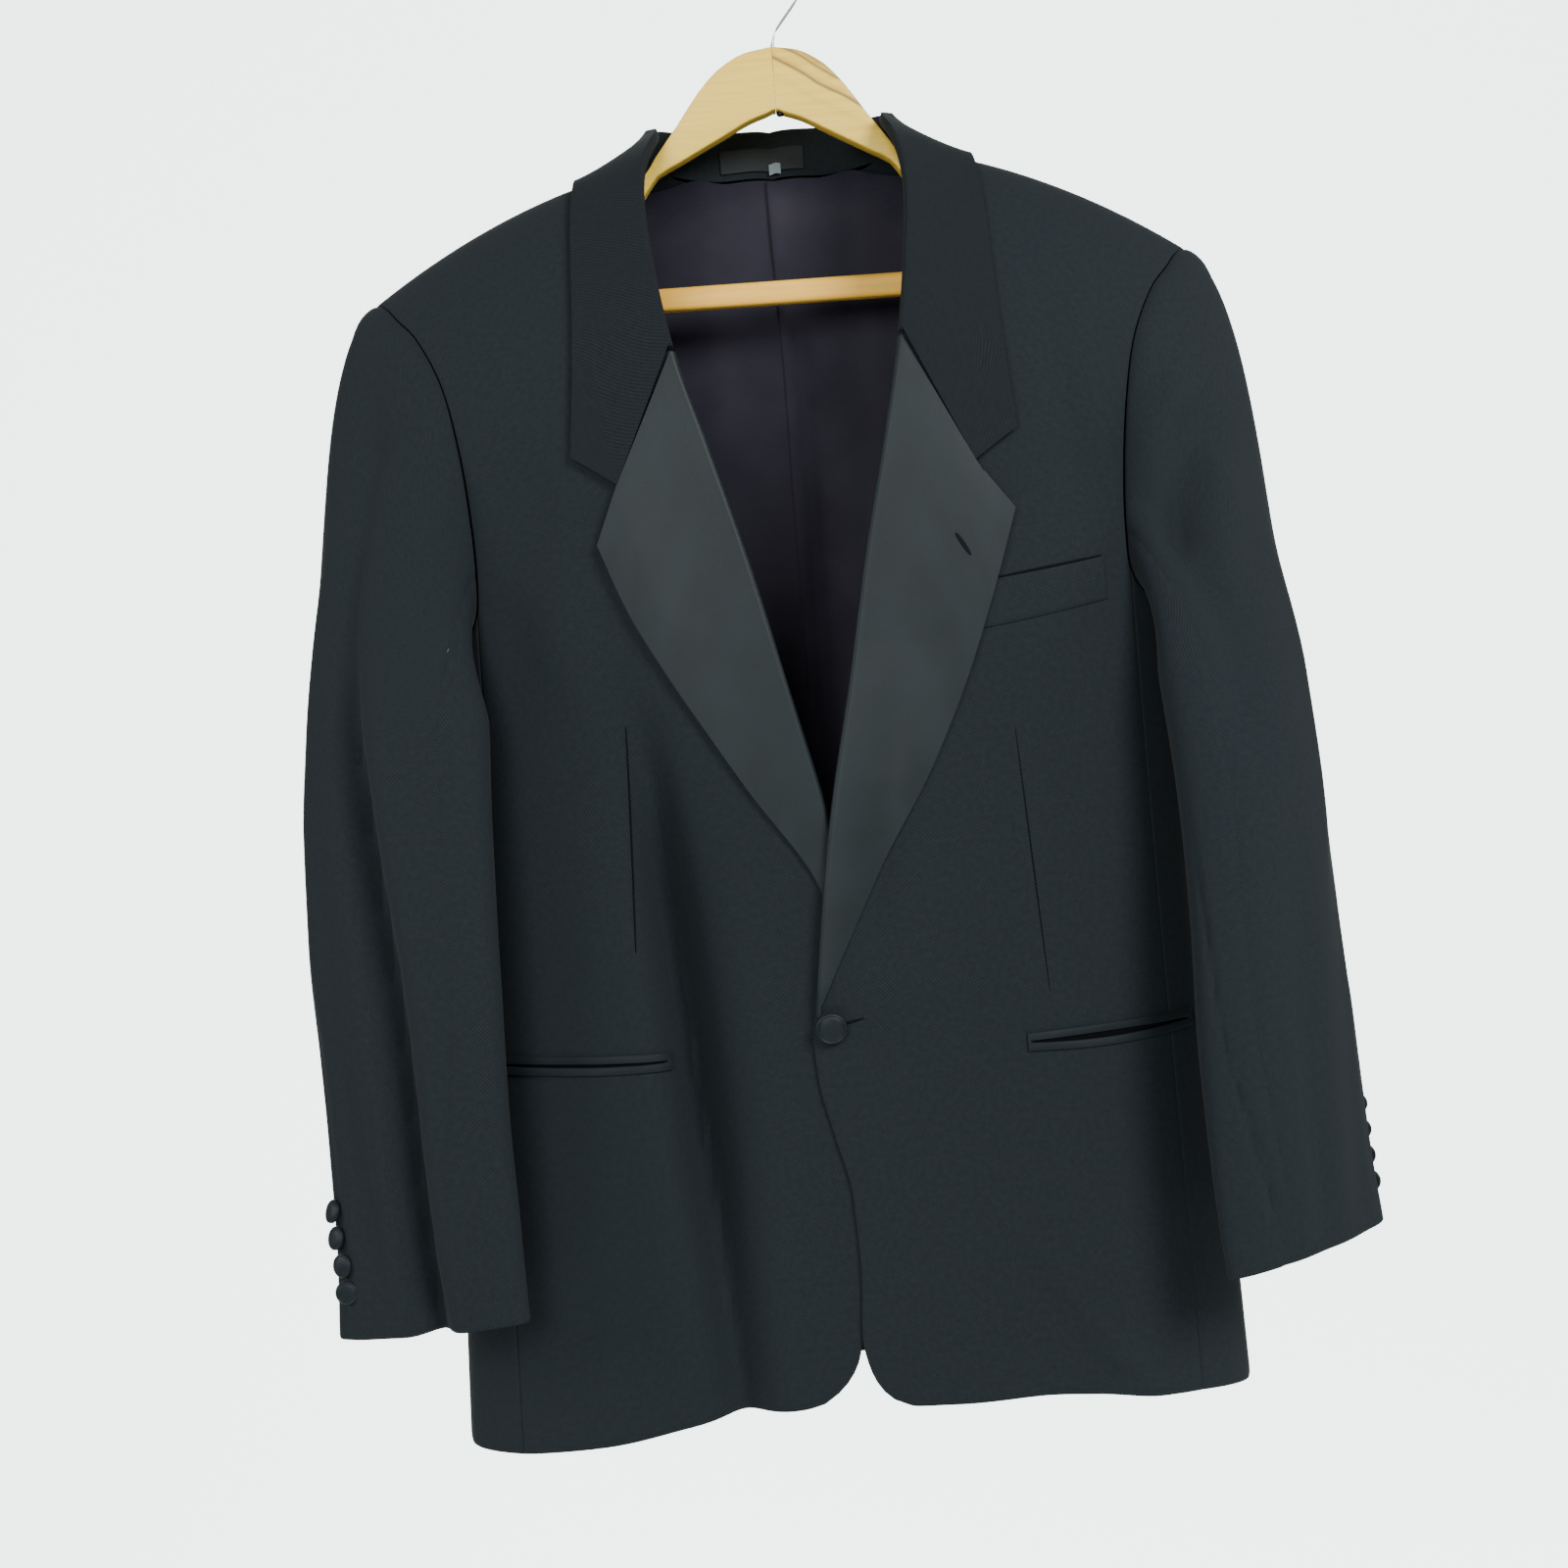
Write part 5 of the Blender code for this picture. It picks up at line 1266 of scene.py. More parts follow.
def lapel_section(side, t):
    """The facing's middle line: inside, round the roll, and out to the edge."""
    bottom_z = LAPEL[-1][1 if side == "right" else 3]
    roll_z = mix(GORGE_Z, bottom_z, t)
    roll_x = opening_x(roll_z, side)
    edge = lapel_edge(side, t)
    proud = mix(LAPEL_PROUD, LAPEL_GAP, ease(t / 0.86 - 0.1)) + SATIN / 2
    seat = LAPEL_GAP + SATIN / 2
    lying = []
    for share in LAPEL_SHARES:
        x, z = toward_notch(share, LAPEL_NOTCH_SHARE, (roll_x, roll_z), NOTCH, edge, (1 - t) ** 5)
        point, normal = front_place(side, x + ROLL_SEAT * (1 - share), z)
        rise = mix(seat, proud, ease(share * 1.2)) + 0.0012 * (1 - t) * (1 - share)
        rise += LAPEL_RIPPLE * sin(pi * share) * sin(pi * t) * (1 + 0.5 * sin(9 * t + SIDES[side]))
        lying.append(point + normal * rise)
    edge_point, edge_normal = front_place(side, roll_x + ROLL_SEAT, roll_z)
    inward = (front_place(side, roll_x + ROLL_SEAT - 0.002, roll_z)[0] - edge_point).normalized()
    inside = edge_point - edge_normal * (CLOTH + LAPEL_GAP + SATIN / 2)
    deep_point, deep_normal = front_place(side, roll_x + ROLL_SEAT + FACING, roll_z)
    deep = deep_point - deep_normal * (CLOTH + LAPEL_GAP * 1.5 + SATIN / 2)
    high = (lying[0] - inside).length / 2
    middle, up = (lying[0] + inside) / 2, (lying[0] - inside).normalized()
    roll = [middle + inward * (ROLL_SEAT - SATIN / 2) * sin(pi * a) - up * high * cos(pi * a)
            for a in ROLL_SHARES]
    return [deep, deep.lerp(inside, 0.5), inside] + roll + lying


for side in SIDES:
    shares = [0.0, 0.002] + [mix(0.007, 1.0, share) for share in fractions(94)]
    sections = [lapel_section(side, t) for t in shares]
    piece = strip_piece("lapel_facing_" + side, sections, SATIN, satin)
    finish_cloth(piece, ["lapel_" + side], (0.120, 0.420))

# %% [markdown]
# ## Collar
# The collar is a strip of wool that climbs the neck as a stand, turns over a crest and
# falls back onto the shoulders.  Its ends meet the lapels at the gorge seam and leave the
# notch.  The fall is longer than the stand, which hides the seam at the neck.

# %% The collar's rows and its stand
COLLAR_CLOTH = 0.0018
NOTCH_SHARE = 0.76      # the notch's place between the roll and the collar's point
LIE_FROM, LIE_RUN = 0.45, 0.50      # where round the neck the upright stand starts to lie down
NAPE_RISE, NAPE_SHARE = 0.0014, 0.25        # its foot is lifted a little behind the neck


def collar_table(side):
    """The collar's rows as (row, seam x and drop, edge x and drop, stand)."""
    rows = []
    for i, (foot_x, foot_z, edge_x, edge_z, stand, face) in enumerate(COLLAR):
        if face < 0:
            foot_x = opening_x(foot_z, side) + ROLL_SEAT
        foot_drop = drop_of(foot_x, foot_z, face or 1) * face
        edge_drop = drop_of(edge_x, edge_z, face or 1) * face
        rows.append((float(i), foot_x, foot_drop, edge_x, edge_drop, stand))
    return rows


def signed_place(x, drop, sign):
    """Point and normal of the skin at a drop that is + behind and - in front."""
    return skin(x * sign, abs(drop), 1 if drop > 0 else -1)


def stand_frame(seam, normal, along):
    """Foot of the stand's middle line, the way that it rises, and the way into the neck."""
    lean = mix(0.10, 1.0, ease((along - LIE_FROM) / LIE_RUN))
    rise = (Vector((0, 0, 1)) * (1 - lean) + normal * lean).normalized()
    inward = (Vector((0, min(seam.y, -0.02), seam.z)) - seam).normalized()
    low = seam + inward * (COLLAR_CLOTH / 2 + SEAM_GAP * 2.5) - normal * SEAM_GAP
    low.z += NAPE_RISE * (1 - ease((along - NAPE_SHARE) / 0.15))
    return low, rise, inward


print("stand behind the neck:", COLLAR[0][4], "m")

# %% The folded collar
NECK_LEAN = 0.0150      # the stand leans in over the hanger at the side of the neck,
LEAN_AT, LEAN_RUN = 0.53, 0.13      # at this share of the way round, over this share
FALL_LIFT = (0.0032, 0.0042)        # how far the fall lies off the body, at its fold and its edge
FALL_SHARES = [0.0, 0.03, 0.07, 0.12, 0.18, 0.25, 0.33, 0.41, 0.49, 0.57, 0.64, 0.70, 0.76, 0.82, 0.88,
               0.94, 0.98, 1.0]


def collar_section(row, sign):
    """Middle line of the folded collar: up the stand, over, and down the fall."""
    foot_x, foot_drop, edge_x, edge_drop, stand, along = row
    foot, normal = signed_place(foot_x, foot_drop, sign)
    low, rise, _ = stand_frame(foot, normal, along)
    lean = NECK_LEAN * exp(-((along - LEAN_AT) / LEAN_RUN) ** 2)
    lift = rise * stand - Vector((sign * lean, 0, 0))
    notch = (NOTCH[0], -drop_of(NOTCH[0], NOTCH[1] + 0.0020, -1))
    bend = ease((along - 0.90) / 0.10)

    def fall(share):
        place = toward_notch(share, NOTCH_SHARE, (foot_x, foot_drop), notch, (edge_x, edge_drop), bend)
        point, out = signed_place(*place, sign)
        return point + out * mix(*FALL_LIFT, ease(share)) + lift * (1 - share) ** 1.8

    top, over = low + lift * 0.92, fall(0.0)
    crest = (top + over) / 2 + rise * (stand * 0.08 + 0.0012)
    bend_points = [low + lift * 0.5, top, crest, over, fall(0.16)]
    turn_over = []
    for i in (1, 2):
        for step in range(4):
            turn_over.append(Vector([through(*(bend_points[i + n][k] for n in (-1, 0, 1, 2)), step / 4)
                                     for k in range(3)]))
    stand_line = [low + lift * share for share in (0.0, 0.15, 0.35, 0.55, 0.75)]
    return stand_line + turn_over + [fall(share) for share in FALL_SHARES]


def collar_lines(side):
    rows = collar_table(side)
    last = len(COLLAR) - 1
    keys = [i / 8 for i in range(last * 8)] + [last - 0.06, last - 0.015, float(last)]
    return [table_row(rows, key) + [key / last] for key in keys]


sections = [collar_section(row, -1) for row in reversed(collar_lines("right"))]
sections += [collar_section(row, 1) for row in collar_lines("left")[1:]]
piece = strip_piece("collar_folded", sections, COLLAR_CLOTH, collar_wool)
finish_cloth(piece, ["collar"], (0.620, 0.090))

# %% [markdown]
# ## Back lining
# Inside, the back is lined with satin a little wider than the wool, so that it can't pull.
# The spare width lies in a pleat down the centre: the cloth folds back on itself, and the
# fold gapes a little below the neck.  Soft upright waves show that it hangs free.

# %% The lining behind the hanger
LINING_BOTTOM_Z = -0.7000
LINING_HALF_WIDTH = 0.1900
LINING_LAP = 0.0012     # how far its top edge is felled over the foot of the stand
LINING_SLACK = (0.0010, 0.0028)     # how far it hangs off the wool, at the top and below
PLEAT_SHIFT = 0.0030    # how far the pleat moves sideways over its top quarter
# x, half width and depth of the lining's upright waves
WAVES = ((-0.108, 0.012, 0.0009), (-0.078, 0.009, 0.0006), (-0.046, 0.012, 0.0009),
         (0.036, 0.012, 0.0008), (0.062, 0.010, 0.0007), (0.092, 0.013, 0.0009), (0.128, 0.012, 0.0008))
# The pleat in section, from left to right: x, and how far it lies before the cloth below
PLEAT = ((0.0020, 0.0), (0.0036, 0.0003), (0.0038, 0.0009), (0.0020, 0.0012), (-0.0016, 0.0013),
         (-0.0036, 0.0014), (-0.0042, 0.0018), (-0.0036, 0.0021), (-0.0010, 0.0021), (0.0026, 0.0019),
         (0.0044, 0.0014), (0.0075, 0.0010), (0.0130, 0.0004))


def lining_place(x, t, over=0.0):
    """Point of the lining's outer side and the way that it faces."""
    tops = [(row[0], drop_of(row[0], row[1], 1) - LINING_LAP) for row in COLLAR[:3]]
    tops += [(0.100, 0.0320), (0.190, 0.0360)]
    top_z = height_of(x, table_value(tops, abs(x), 1), 1)[0]
    z = mix(top_z, LINING_BOTTOM_Z, t)
    drop = drop_of(x, z, 1)
    slack = mix(*LINING_SLACK, ease(t * 3)) + 0.0008 * exp(-((abs(x) - 0.07) / 0.02) ** 2)
    wave = sum(depth * exp(-((x - place - 0.05 * place * t) / width) ** 2) for place, width, depth in WAVES)
    point, normal = skin(x, drop, 1)
    return point - normal * (CLOTH + LAY_GAP + slack + wave * ease(t * 6) + over), normal


columns = [(mix(-LINING_HALF_WIDTH, -0.001, i / 44), None) for i in range(44)]
columns += PLEAT
columns += [(mix(0.018, LINING_HALF_WIDTH, share), None) for share in fractions(40)]
rows = []
for step in fractions(80):
    t = step ** 1.5
    gape = 1 + 0.5 * exp(-((t - 0.06) / 0.05) ** 2)
    shift = PLEAT_SHIFT * ease(t / 0.25)
    rows.append([lining_place(x if over is None else x + shift, t, (over or 0.0) * gape)
                 for x, over in columns])
piece = cloth_piece("lining_back", *split(rows), THIN, lining_cloth, press=False)
finish_cloth(piece, ["back_lining"], (0.400, 0.580))

# %% [markdown]
# ## Label and size tab
# A woven label is folded at its ends and sewn inside the collar's stand; ours is bare.  A
# tiny white tab under it would carry the size.

# %% Neck label and size tab
LABEL_CLOTH = 0.0010
LABEL_ENDS = (-0.0360, 0.0230)      # along the neck, from the centre back
LABEL_SHARES = (0.68, 0.675, 0.66, 0.56, 0.46, 0.36, 0.26, 0.185, 0.165, 0.16)      # up the stand
TAB_ENDS = (-0.0020, 0.0066)
TAB_SHARES = (0.30, 0.24, 0.18, 0.12, 0.06)


def stand_place(x, share):
    """A place on the inside of the collar's stand behind the neck, and the way it faces."""
    keys = [(row[0], i) for i, row in enumerate(COLLAR[:3])]
    key = table_value(keys, abs(x), 1)
    row = table_row(collar_table("left"), key)
    seam, normal = signed_place(row[0], row[1], 1 if x > 0 else -1)
    low, rise, inward = stand_frame(seam, normal, 0.0)
    return low + rise * row[4] * share, inward


def on_stand(name, ends, across, shares, bow, height, thickness, material):
    """A small piece on the inside of the stand, its outer side at a height above the wool."""
    rows = [[stand_place(mix(*ends, u), share + bow * sin(pi * u)) for u in across] for share in shares]
    return cloth_piece(name, *split(rows), thickness, material, press=False,
                       lift=COLLAR_CLOTH / 2 + LAY_GAP + height)


piece = on_stand("neck_label_plain", LABEL_ENDS, close_steps(24, 0.008), LABEL_SHARES, 0.0,
                 0.0002 + LABEL_CLOTH, LABEL_CLOTH, label_cloth)
finish_cloth(piece, ["neck_label"], (0.064, 0.016))
piece = on_stand("size_tab", TAB_ENDS, fractions(6), TAB_SHARES, 0.04, LABEL_CLOTH + 0.0014, 0.0006,
                 shaded_tab_cloth)
finish_cloth(piece, [], (0.0100, 0.010))

# %% [markdown]
# ## Breast pocket
# A welt of wool, cut on the slant, is set on the left breast.  It is a folded strip about
# 3 mm thick with the padding of its own seam, so its upper edge stands off a little.

# %% Breast welt
# Patches that lie on the fronts: corners as (x, z), clockwise from the upper inner one.
BREAST_WELT = ((0.1106, -0.4308), (0.1872, -0.4191), (0.1877, -0.4458), (0.1067, -0.4600))
WELT_BOW = 0.0008       # how much lower its middle hangs
WELT_SINK = 0.0006      # how much closer its sewn lower edge lies
MOUTH_SHADE_CLOTH = 0.0003   # thickness of the dark sheet that paints the shade in a pocket's mouth
MOUTH_SHADE_LIFT = 0.0005    # its height above the front


def patch_net(side, corners, across, down, bow=0.0):
    """Points and normals on the front between four corners, clockwise from upper inner."""
    rows = []
    for v in down:
        row = []
        for u in across:
            x, z = (mix(mix(corners[0][k], corners[1][k], u), mix(corners[3][k], corners[2][k], u), v)
                    for k in (0, 1))
            row.append(front_place(side, x, z - bow * sin(pi * u)))
        rows.append(row)
    return split(rows)


net, normals = patch_net("left", BREAST_WELT, close_steps(36, 0.006), close_steps(10, 0.03), WELT_BOW)
net = [[p - n * WELT_SINK * (r / (len(net) - 1)) ** 2 for p, n in zip(ps, ns)]
       for r, (ps, ns) in enumerate(zip(net, normals))]
piece = cloth_piece("breast_welt_cloth", net, normals, SATIN, wool, lift=0.0008 + SATIN)
finish_cloth(piece, ["breast_welt"], (0.078, 0.030))
# Painted shadow: a strip of the darkened wool along the welt's upper edge stands for the shade in the
# pocket's mouth.
(x0, z0), (x1, z1) = BREAST_WELT[:2]
mouth = ((x0 + 0.002, z0 + 0.0014), (x1 - 0.001, z1 + 0.0010),
         (x1 - 0.001, z1 - 0.0010), (x0 + 0.002, z0 - 0.0010))
net, normals = patch_net("left", mouth, fractions(24), fractions(2))
piece = cloth_piece("breast_pocket_mouth_shade", net, normals, MOUTH_SHADE_CLOTH, shade_painted_wool, press=False,
                    lift=MOUTH_SHADE_LIFT)
finish_cloth(piece, [], (0.076, 0.0101))

# %% [markdown]
# ## Hip pockets
# Each hip pocket is a slit between two narrow satin jets, sewn together at its ends.  Its
# mouth sags a little and shows the dark inside: black pocket cotton, whose darkness also
# paints the shade in the mouth.

# %% Jets, and the black cloth that paints the shade in the pockets' mouths
# Upper edge of each hip pocket: side, inner x and z, outer x and z, sag of its mouth
JETS = (
    ("right", 0.1038, -0.7078, 0.2220, -0.7045, 0.0010),
    ("left", 0.1176, -0.7108, 0.2260, -0.7068, 0.0026),
)
JET_MOUTH = 0.0011
JET_WIDTH = 0.0050
JET_END = 0.02                  # share of the length that closes each end
JET_DEPTHS = (0.0, 0.06, 0.30, 0.70, 0.94, 1.0)     # of its rings, from the rim to the mouth
JET_SWELL = 0.0002


def jets_net(side, x0, z0, x1, z1, sag):
    """Rings round the mouth; a ring runs out along the top and back along the bottom."""
    height = JET_WIDTH * 2 + JET_MOUTH
    steps = fractions(48)
    loop = [(u, 0) for u in steps] + [(u, 1) for u in reversed(steps)]
    rows = []
    for depth in JET_DEPTHS:
        inset, low_share = JET_END * depth, mix(1.0, (JET_WIDTH + JET_MOUTH) / height, depth)
        row = []
        for u, low in loop:
            across = mix(inset, 1 - inset, u)
            share = low_share if low else 1 - low_share
            z = mix(z0, z1, across) - height * share - low * sag * sin(pi * u)
            point, normal = front_place(side, mix(x0, x1, across), z)
            row.append((point + normal * JET_SWELL * sin(pi * depth), normal))
        rows.append(row)
    return split(rows)


for side, x0, z0, x1, z1, sag in JETS:
    net, normals = jets_net(side, x0, z0, x1, z1, sag)
    piece = cloth_piece("pocket_jets_" + side, net, normals, SATIN, jet_satin, ring=True,
                        lift=0.0005 + SATIN)
    finish_cloth(piece, ["hip_jets_" + side], (0.122, 0.014))
    inside = ((x0 + 0.004, z0 - 0.003), (x1 - 0.004, z1 - 0.003),
              (x1 - 0.004, z1 - 0.0105), (x0 + 0.004, z0 - 0.0105))
    # Painted shade: a flat sheet of black pocket cotton lies under the jets, as dark as the shade in the
    # mouth, which it paints.
    net, normals = patch_net(side, inside, fractions(24), fractions(3), sag * 0.8)
    piece = cloth_piece("hip_pocket_cotton_and_shade_" + side, net, normals, MOUTH_SHADE_CLOTH, black_cotton_and_shade, press=False,
                        lift=MOUTH_SHADE_LIFT)
    finish_cloth(piece, [], (0.112, 0.010))

# %% [markdown]
# ## Lines of thread and darts
# A dart is a narrow wedge of cloth sewn away, and what shows of it is one shaded line, painted
# here as a strip of darkened wool.  A buttonhole is a slit bound with close silk stitches, so it
# shows as a low bead; the front one is painted slit shade in the same darkened wool.  All are
# thin strips laid on the finished piece, found by looking along +Y for its surface.

# %% A strip that follows the surface of a piece
BEAD_TIP = 0.00005      # half the width that is left at its ends
BEAD_LIFT = 0.00012     # its edge's height above the cloth


def on_piece(piece, x, z):
    """Point and normal of a piece's front side at x and z."""
    hit, place, normal, _ = piece.ray_cast(Vector((x, -0.5, z)), Vector((0, 1, 0)))
    if not hit:
        raise RuntimeError("nothing of %s at x %.3f, z %.3f" % (piece.name, x, z))
    return place, normal


def strip_on(name, piece, start, end, half_width, height, material, steps=24):
    """A low bead between two places (x, z) on a piece, tapered at its ends."""
    along = (Vector((end[0], 0, end[1])) - Vector((start[0], 0, start[1]))).normalized()
    net = []
    for i in range(steps + 1):
        t = i / steps
        place, normal = on_piece(piece, mix(start[0], end[0], t), mix(start[1], end[1], t))
        across = normal.cross(along).normalized()
        width = half_width * max(sin(pi * t), 0.0) ** 0.35 + BEAD_TIP
        net.append([place + across * width * c + normal * (height * (1 - c * c) + BEAD_LIFT)
                    for c in (-1.0, -0.6, 0.0, 0.6, 1.0)])
    normals = facing_out(net, unit_normals(net))
    return cloth_piece(name, net, normals, 0.0006, material, press=False)


built = bpy.data.objects
print("built so far:", len([o for o in built if o.type == "MESH"]) - len(frame["nodes"]), "pieces")

# %% Darts and buttonholes
DARTS = {"right": ((-0.1160, -0.5036), (-0.1201, -0.6447)),
         "left": ((0.1234, -0.5208), (0.1338, -0.6869))}
DART_HALF_WIDTH = 0.00045
HOLE_HALF_WIDTH = 0.00140

# Painted shade: the dart lines and the front buttonhole's slit are strips of the darkened wool.
for side, (high, low) in DARTS.items():
    dart = strip_on("dart_" + side, built["front_panel_" + side], high, low, DART_HALF_WIDTH, 0.0, shade_painted_wool, 60)
    finish_piece(dart, [])
hole = strip_on("buttonhole_front", built["front_panel_left"], (-0.0010, -0.6970), (0.0175, -0.6930),
                HOLE_HALF_WIDTH * 0.6, 0.0003, shade_painted_wool)
finish_piece(hole, [])
hole = strip_on("buttonhole_lapel", built["lapel_facing_left"], (0.0944, -0.4007), (0.1030, -0.4151),
                HOLE_HALF_WIDTH, 0.0004, thread)
finish_piece(hole, [])
print("darts and buttonholes lie on their pieces")

# %% [markdown]
# ## Covered buttons
# The front button is a metal shell covered with satin: a raised rim round a low dome.  The
# four on each cuff are the same, smaller.  One is modelled from a short cylinder, by insets
# and bevels, and turned to face out where it is sewn on.  Each copy has its own mesh.

# %% Open a shape for editing, and close it again
def pick(mesh, kind, wanted):
    """In edit mode: select just the faces or the edges that a test accepts."""
    work = bmesh.from_edit_mesh(mesh)
    for part in (work.verts, work.edges, work.faces):
        for item in part:
            item.select = False
    for item in getattr(work, kind):
        item.select_set(wanted(item))
    if kind == "faces":
        work.select_flush_mode()
    bmesh.update_edit_mesh(mesh)


def open_shape(name, mode, add_shape, **settings):
    """Add a shape, bake its place into its mesh and open it for editing."""
    bpy.ops.object.select_all(action="DESELECT")
    add_shape(**settings)
    made = bpy.context.object
    made.name = made.data.name = name
    made.data.transform(made.matrix_world)
    made.matrix_world = Matrix.Identity(4)
    bpy.ops.object.mode_set(mode="EDIT")
    bpy.ops.mesh.select_mode(type=mode)
    return made


def close_shape(made, material, sharp=None):
    """Back from editing: shade it smooth, up to a sharp angle in degrees, and colour it."""
    bpy.ops.object.mode_set(mode="OBJECT")
    made.data.shade_smooth()
    if sharp:
        made.data.set_sharp_from_angle(angle=radians(sharp))
    made.data.materials.append(material)


print("helpers ready for shapes that start as a primitive")

# %% Model one covered button
BUTTON_X = -0.0029
BUTTON_Z = -0.6970
BUTTON_RADIUS = 0.0098
CUFF_BUTTON_RADIUS = 0.0074
SHANK = 0.0012                  # radius and height of a button's shank
# Insets of the rim and the dome, and how far each one rises, as shares of the radius
BUTTON_RINGS = ((0.13, 0.05), (0.07, -0.045), (0.04, 0.03), (0.16, 0.035), (0.2, 0.03), (0.2, 0.01))
CUFF_BUTTON_PITCH = 0.0163
CUFF_BUTTON_Z = {"right": -0.7935, "left": -0.7750}


def covered_button(name, radius, material):
    """Lying at the origin with its face toward +Z, its shank below."""
    thick = radius * 0.30
    made = open_shape(name, "FACE", bpy.ops.mesh.primitive_cylinder_add, vertices=48, radius=radius,
                      depth=thick, location=(0, 0, thick / 2 + radius * 0.06))
    pick(made.data, "faces", lambda f: f.normal.z > 0.9)
    for inset, rise in BUTTON_RINGS:
        bpy.ops.mesh.inset(thickness=radius * inset, depth=radius * rise)
    pick(made.data, "faces", lambda f: f.normal.z < -0.9)
    bpy.ops.mesh.inset(thickness=radius * 0.15, depth=radius * 0.06)
    bpy.ops.mesh.inset(thickness=radius * 0.85 - SHANK, depth=0.0)
    bpy.ops.mesh.inset(thickness=0.0, depth=SHANK)
    bpy.ops.mesh.select_mode(type="EDGE")
    pick(made.data, "edges", lambda e: e.calc_face_angle(0) > 0.6
         and min(v.co.xy.length for v in e.verts) > radius * 0.97)
    bpy.ops.mesh.bevel(offset=radius * 0.10, segments=3, profile=0.6, affect="EDGES")
    close_shape(made, material, 50)
    return made


def sew_on(button, name, place, axis):
    """A copy with its own mesh, its face along axis and its back at place."""
    copy = bpy.data.objects.new(name, button.data.copy())
    copy.data.name = name
    bpy.context.scene.collection.objects.link(copy)
    turn = Vector((0, 0, 1)).rotation_difference(axis).to_matrix().to_4x4()
    copy.data.transform(Matrix.Translation(place) @ turn)
    return copy


large = covered_button("button_model", BUTTON_RADIUS, button_satin)
print("button model:", len(large.data.polygons), "faces,", size_mm(large), "mm")

# %% Sew the buttons on
place, normal = front_place("left", BUTTON_X, BUTTON_Z)
piece = sew_on(large, "button_front_covered", place + normal * (0.0002 + LAY_GAP + SHANK), normal)
finish_piece(piece, ["front_button"])

small = covered_button("cuff_button_model", CUFF_BUTTON_RADIUS, button_satin)
# The opening of the right cuff has turned forward: distance of its buttons from the centre
TURNED_CUFF_X = (0.3190, 0.3172, 0.3146, 0.3106)
BUTTON_TIPS = (0.30, 0.22, 0.10, -0.04)     # how far each one nods up or down, and turns
BUTTON_TURNS = {"right": (0.0, 0.05, 0.35, 0.75), "left": (0.0, 0.0, 0.0, 0.0)}     # to the front


def cuff_button_place(side, i):
    """Where a button sits on its cuff, and its axis."""
    rings, normals = tubes[side]
    z = CUFF_BUTTON_Z[side] - i * CUFF_BUTTON_PITCH
    column = BUTTON_ROW * SLEEVE_STEPS
    if side == "right":
        near = next(ring for ring in rings if ring[0].z < z)
        outer = [j % len(near) for j in range(MARKS * SLEEVE_STEPS, (MARKS + 3) * SLEEVE_STEPS)]
        column = min(outer, key=lambda j: abs(abs(near[j].x) - TURNED_CUFF_X[i]))
    k = next(k for k in range(len(rings) - 1) if rings[k][column].z >= z >= rings[k + 1][column].z)
    upper, lower = rings[k][column], rings[k + 1][column]
    share = (upper.z - z) / (upper.z - lower.z)
    axis = normals[k][column].lerp(normals[k + 1][column], share)
    axis = (axis + Vector((0, 0, BUTTON_TIPS[i]))).normalized()
    axis = axis.lerp(Vector((0.0, -1.0, 0.0)), BUTTON_TURNS[side][i]).normalized()
    return upper.lerp(lower, share), axis


for side in SIDES:
    for i in range(4):
        name = "%s_%d" % (side, i + 1)
        place, axis = cuff_button_place(side, i)
        piece = sew_on(small, "button_cuff_" + name, place + axis * (LAY_GAP + SHANK), axis)
        finish_piece(piece, ["cuff_button_" + name])
for model in (large, small):
    bpy.data.objects.remove(model)
print("nine buttons sewn on")

# %% [markdown]
# ## Hanger
# A wooden hanger is two boards, sawn in a curve and glued at a mitre in the middle, where
# the wire goes in.  Each arm starts as a small block at the mitre and is pushed outward
# station by station, so that its top and underside follow the sawn curves.  Its long edges
# are then rounded with a bevel, as on the router.

# %% Heights of an arm's top and underside
# Hanger arm from the middle outward: x, top, underside.
HANGER = (
    (0.0000, -0.0676, -0.1086),
    (0.0160, -0.0700, -0.1140),
    (0.0330, -0.0790, -0.1230),
    (0.0480, -0.0945, -0.1310),
    (0.0620, -0.1145, -0.1385),
    (0.0760, -0.1330, -0.1460),
    (0.0800, -0.1394, -0.1510),
    (0.0835, -0.1444, -0.1560),
)
HANGER_THICKNESS = 0.0130
HANGER_SHIFT = 0.0050           # the hanger's middle stands off the jacket's
HANGER_EASE = 0.0035            # rounding of its edges
HANGER_DEPTH = 0.0290           # height of the arm under the shoulder
HANGER_GAP = 0.0012             # from the arm to the cloth over it
BAR_TOP_Z = -0.2190
BAR_HEIGHT = 0.0150
BAR_THICKNESS = 0.0110
BAR_END_X = 0.1760


def arm_heights(x):
    """Top and underside of an arm at a distance from the middle."""
    seat = [(u, shoulder_z(u) - CLOTH - HANGER_GAP) for u in (0.100, 0.125, 0.150, 0.175, 0.196)]
    tops = [row[:2] for row in HANGER] + [(u, z - (0.003 if u < 0.11 else 0.0)) for u, z in seat]
    tops += [(0.2040, -0.1860), (0.2080, -0.1930), (0.2092, -0.2000)]
    unders = [(row[0], row[2]) for row in HANGER] + [(u, z - HANGER_DEPTH - 0.001) for u, z in seat[:3]]
    wall_x, end_z = BAR_END_X + 0.0005, BAR_TOP_Z - BAR_HEIGHT
    unders += [(wall_x - 0.0003, BAR_TOP_Z + 0.0060), (wall_x + 0.0003, end_z), (0.1820, end_z - 0.004),
               (0.1960, end_z - 0.004), (0.2040, end_z + 0.001), (0.2092, -0.2150)]
    return table_value(tops, x, 1), table_value(unders, x, 1)


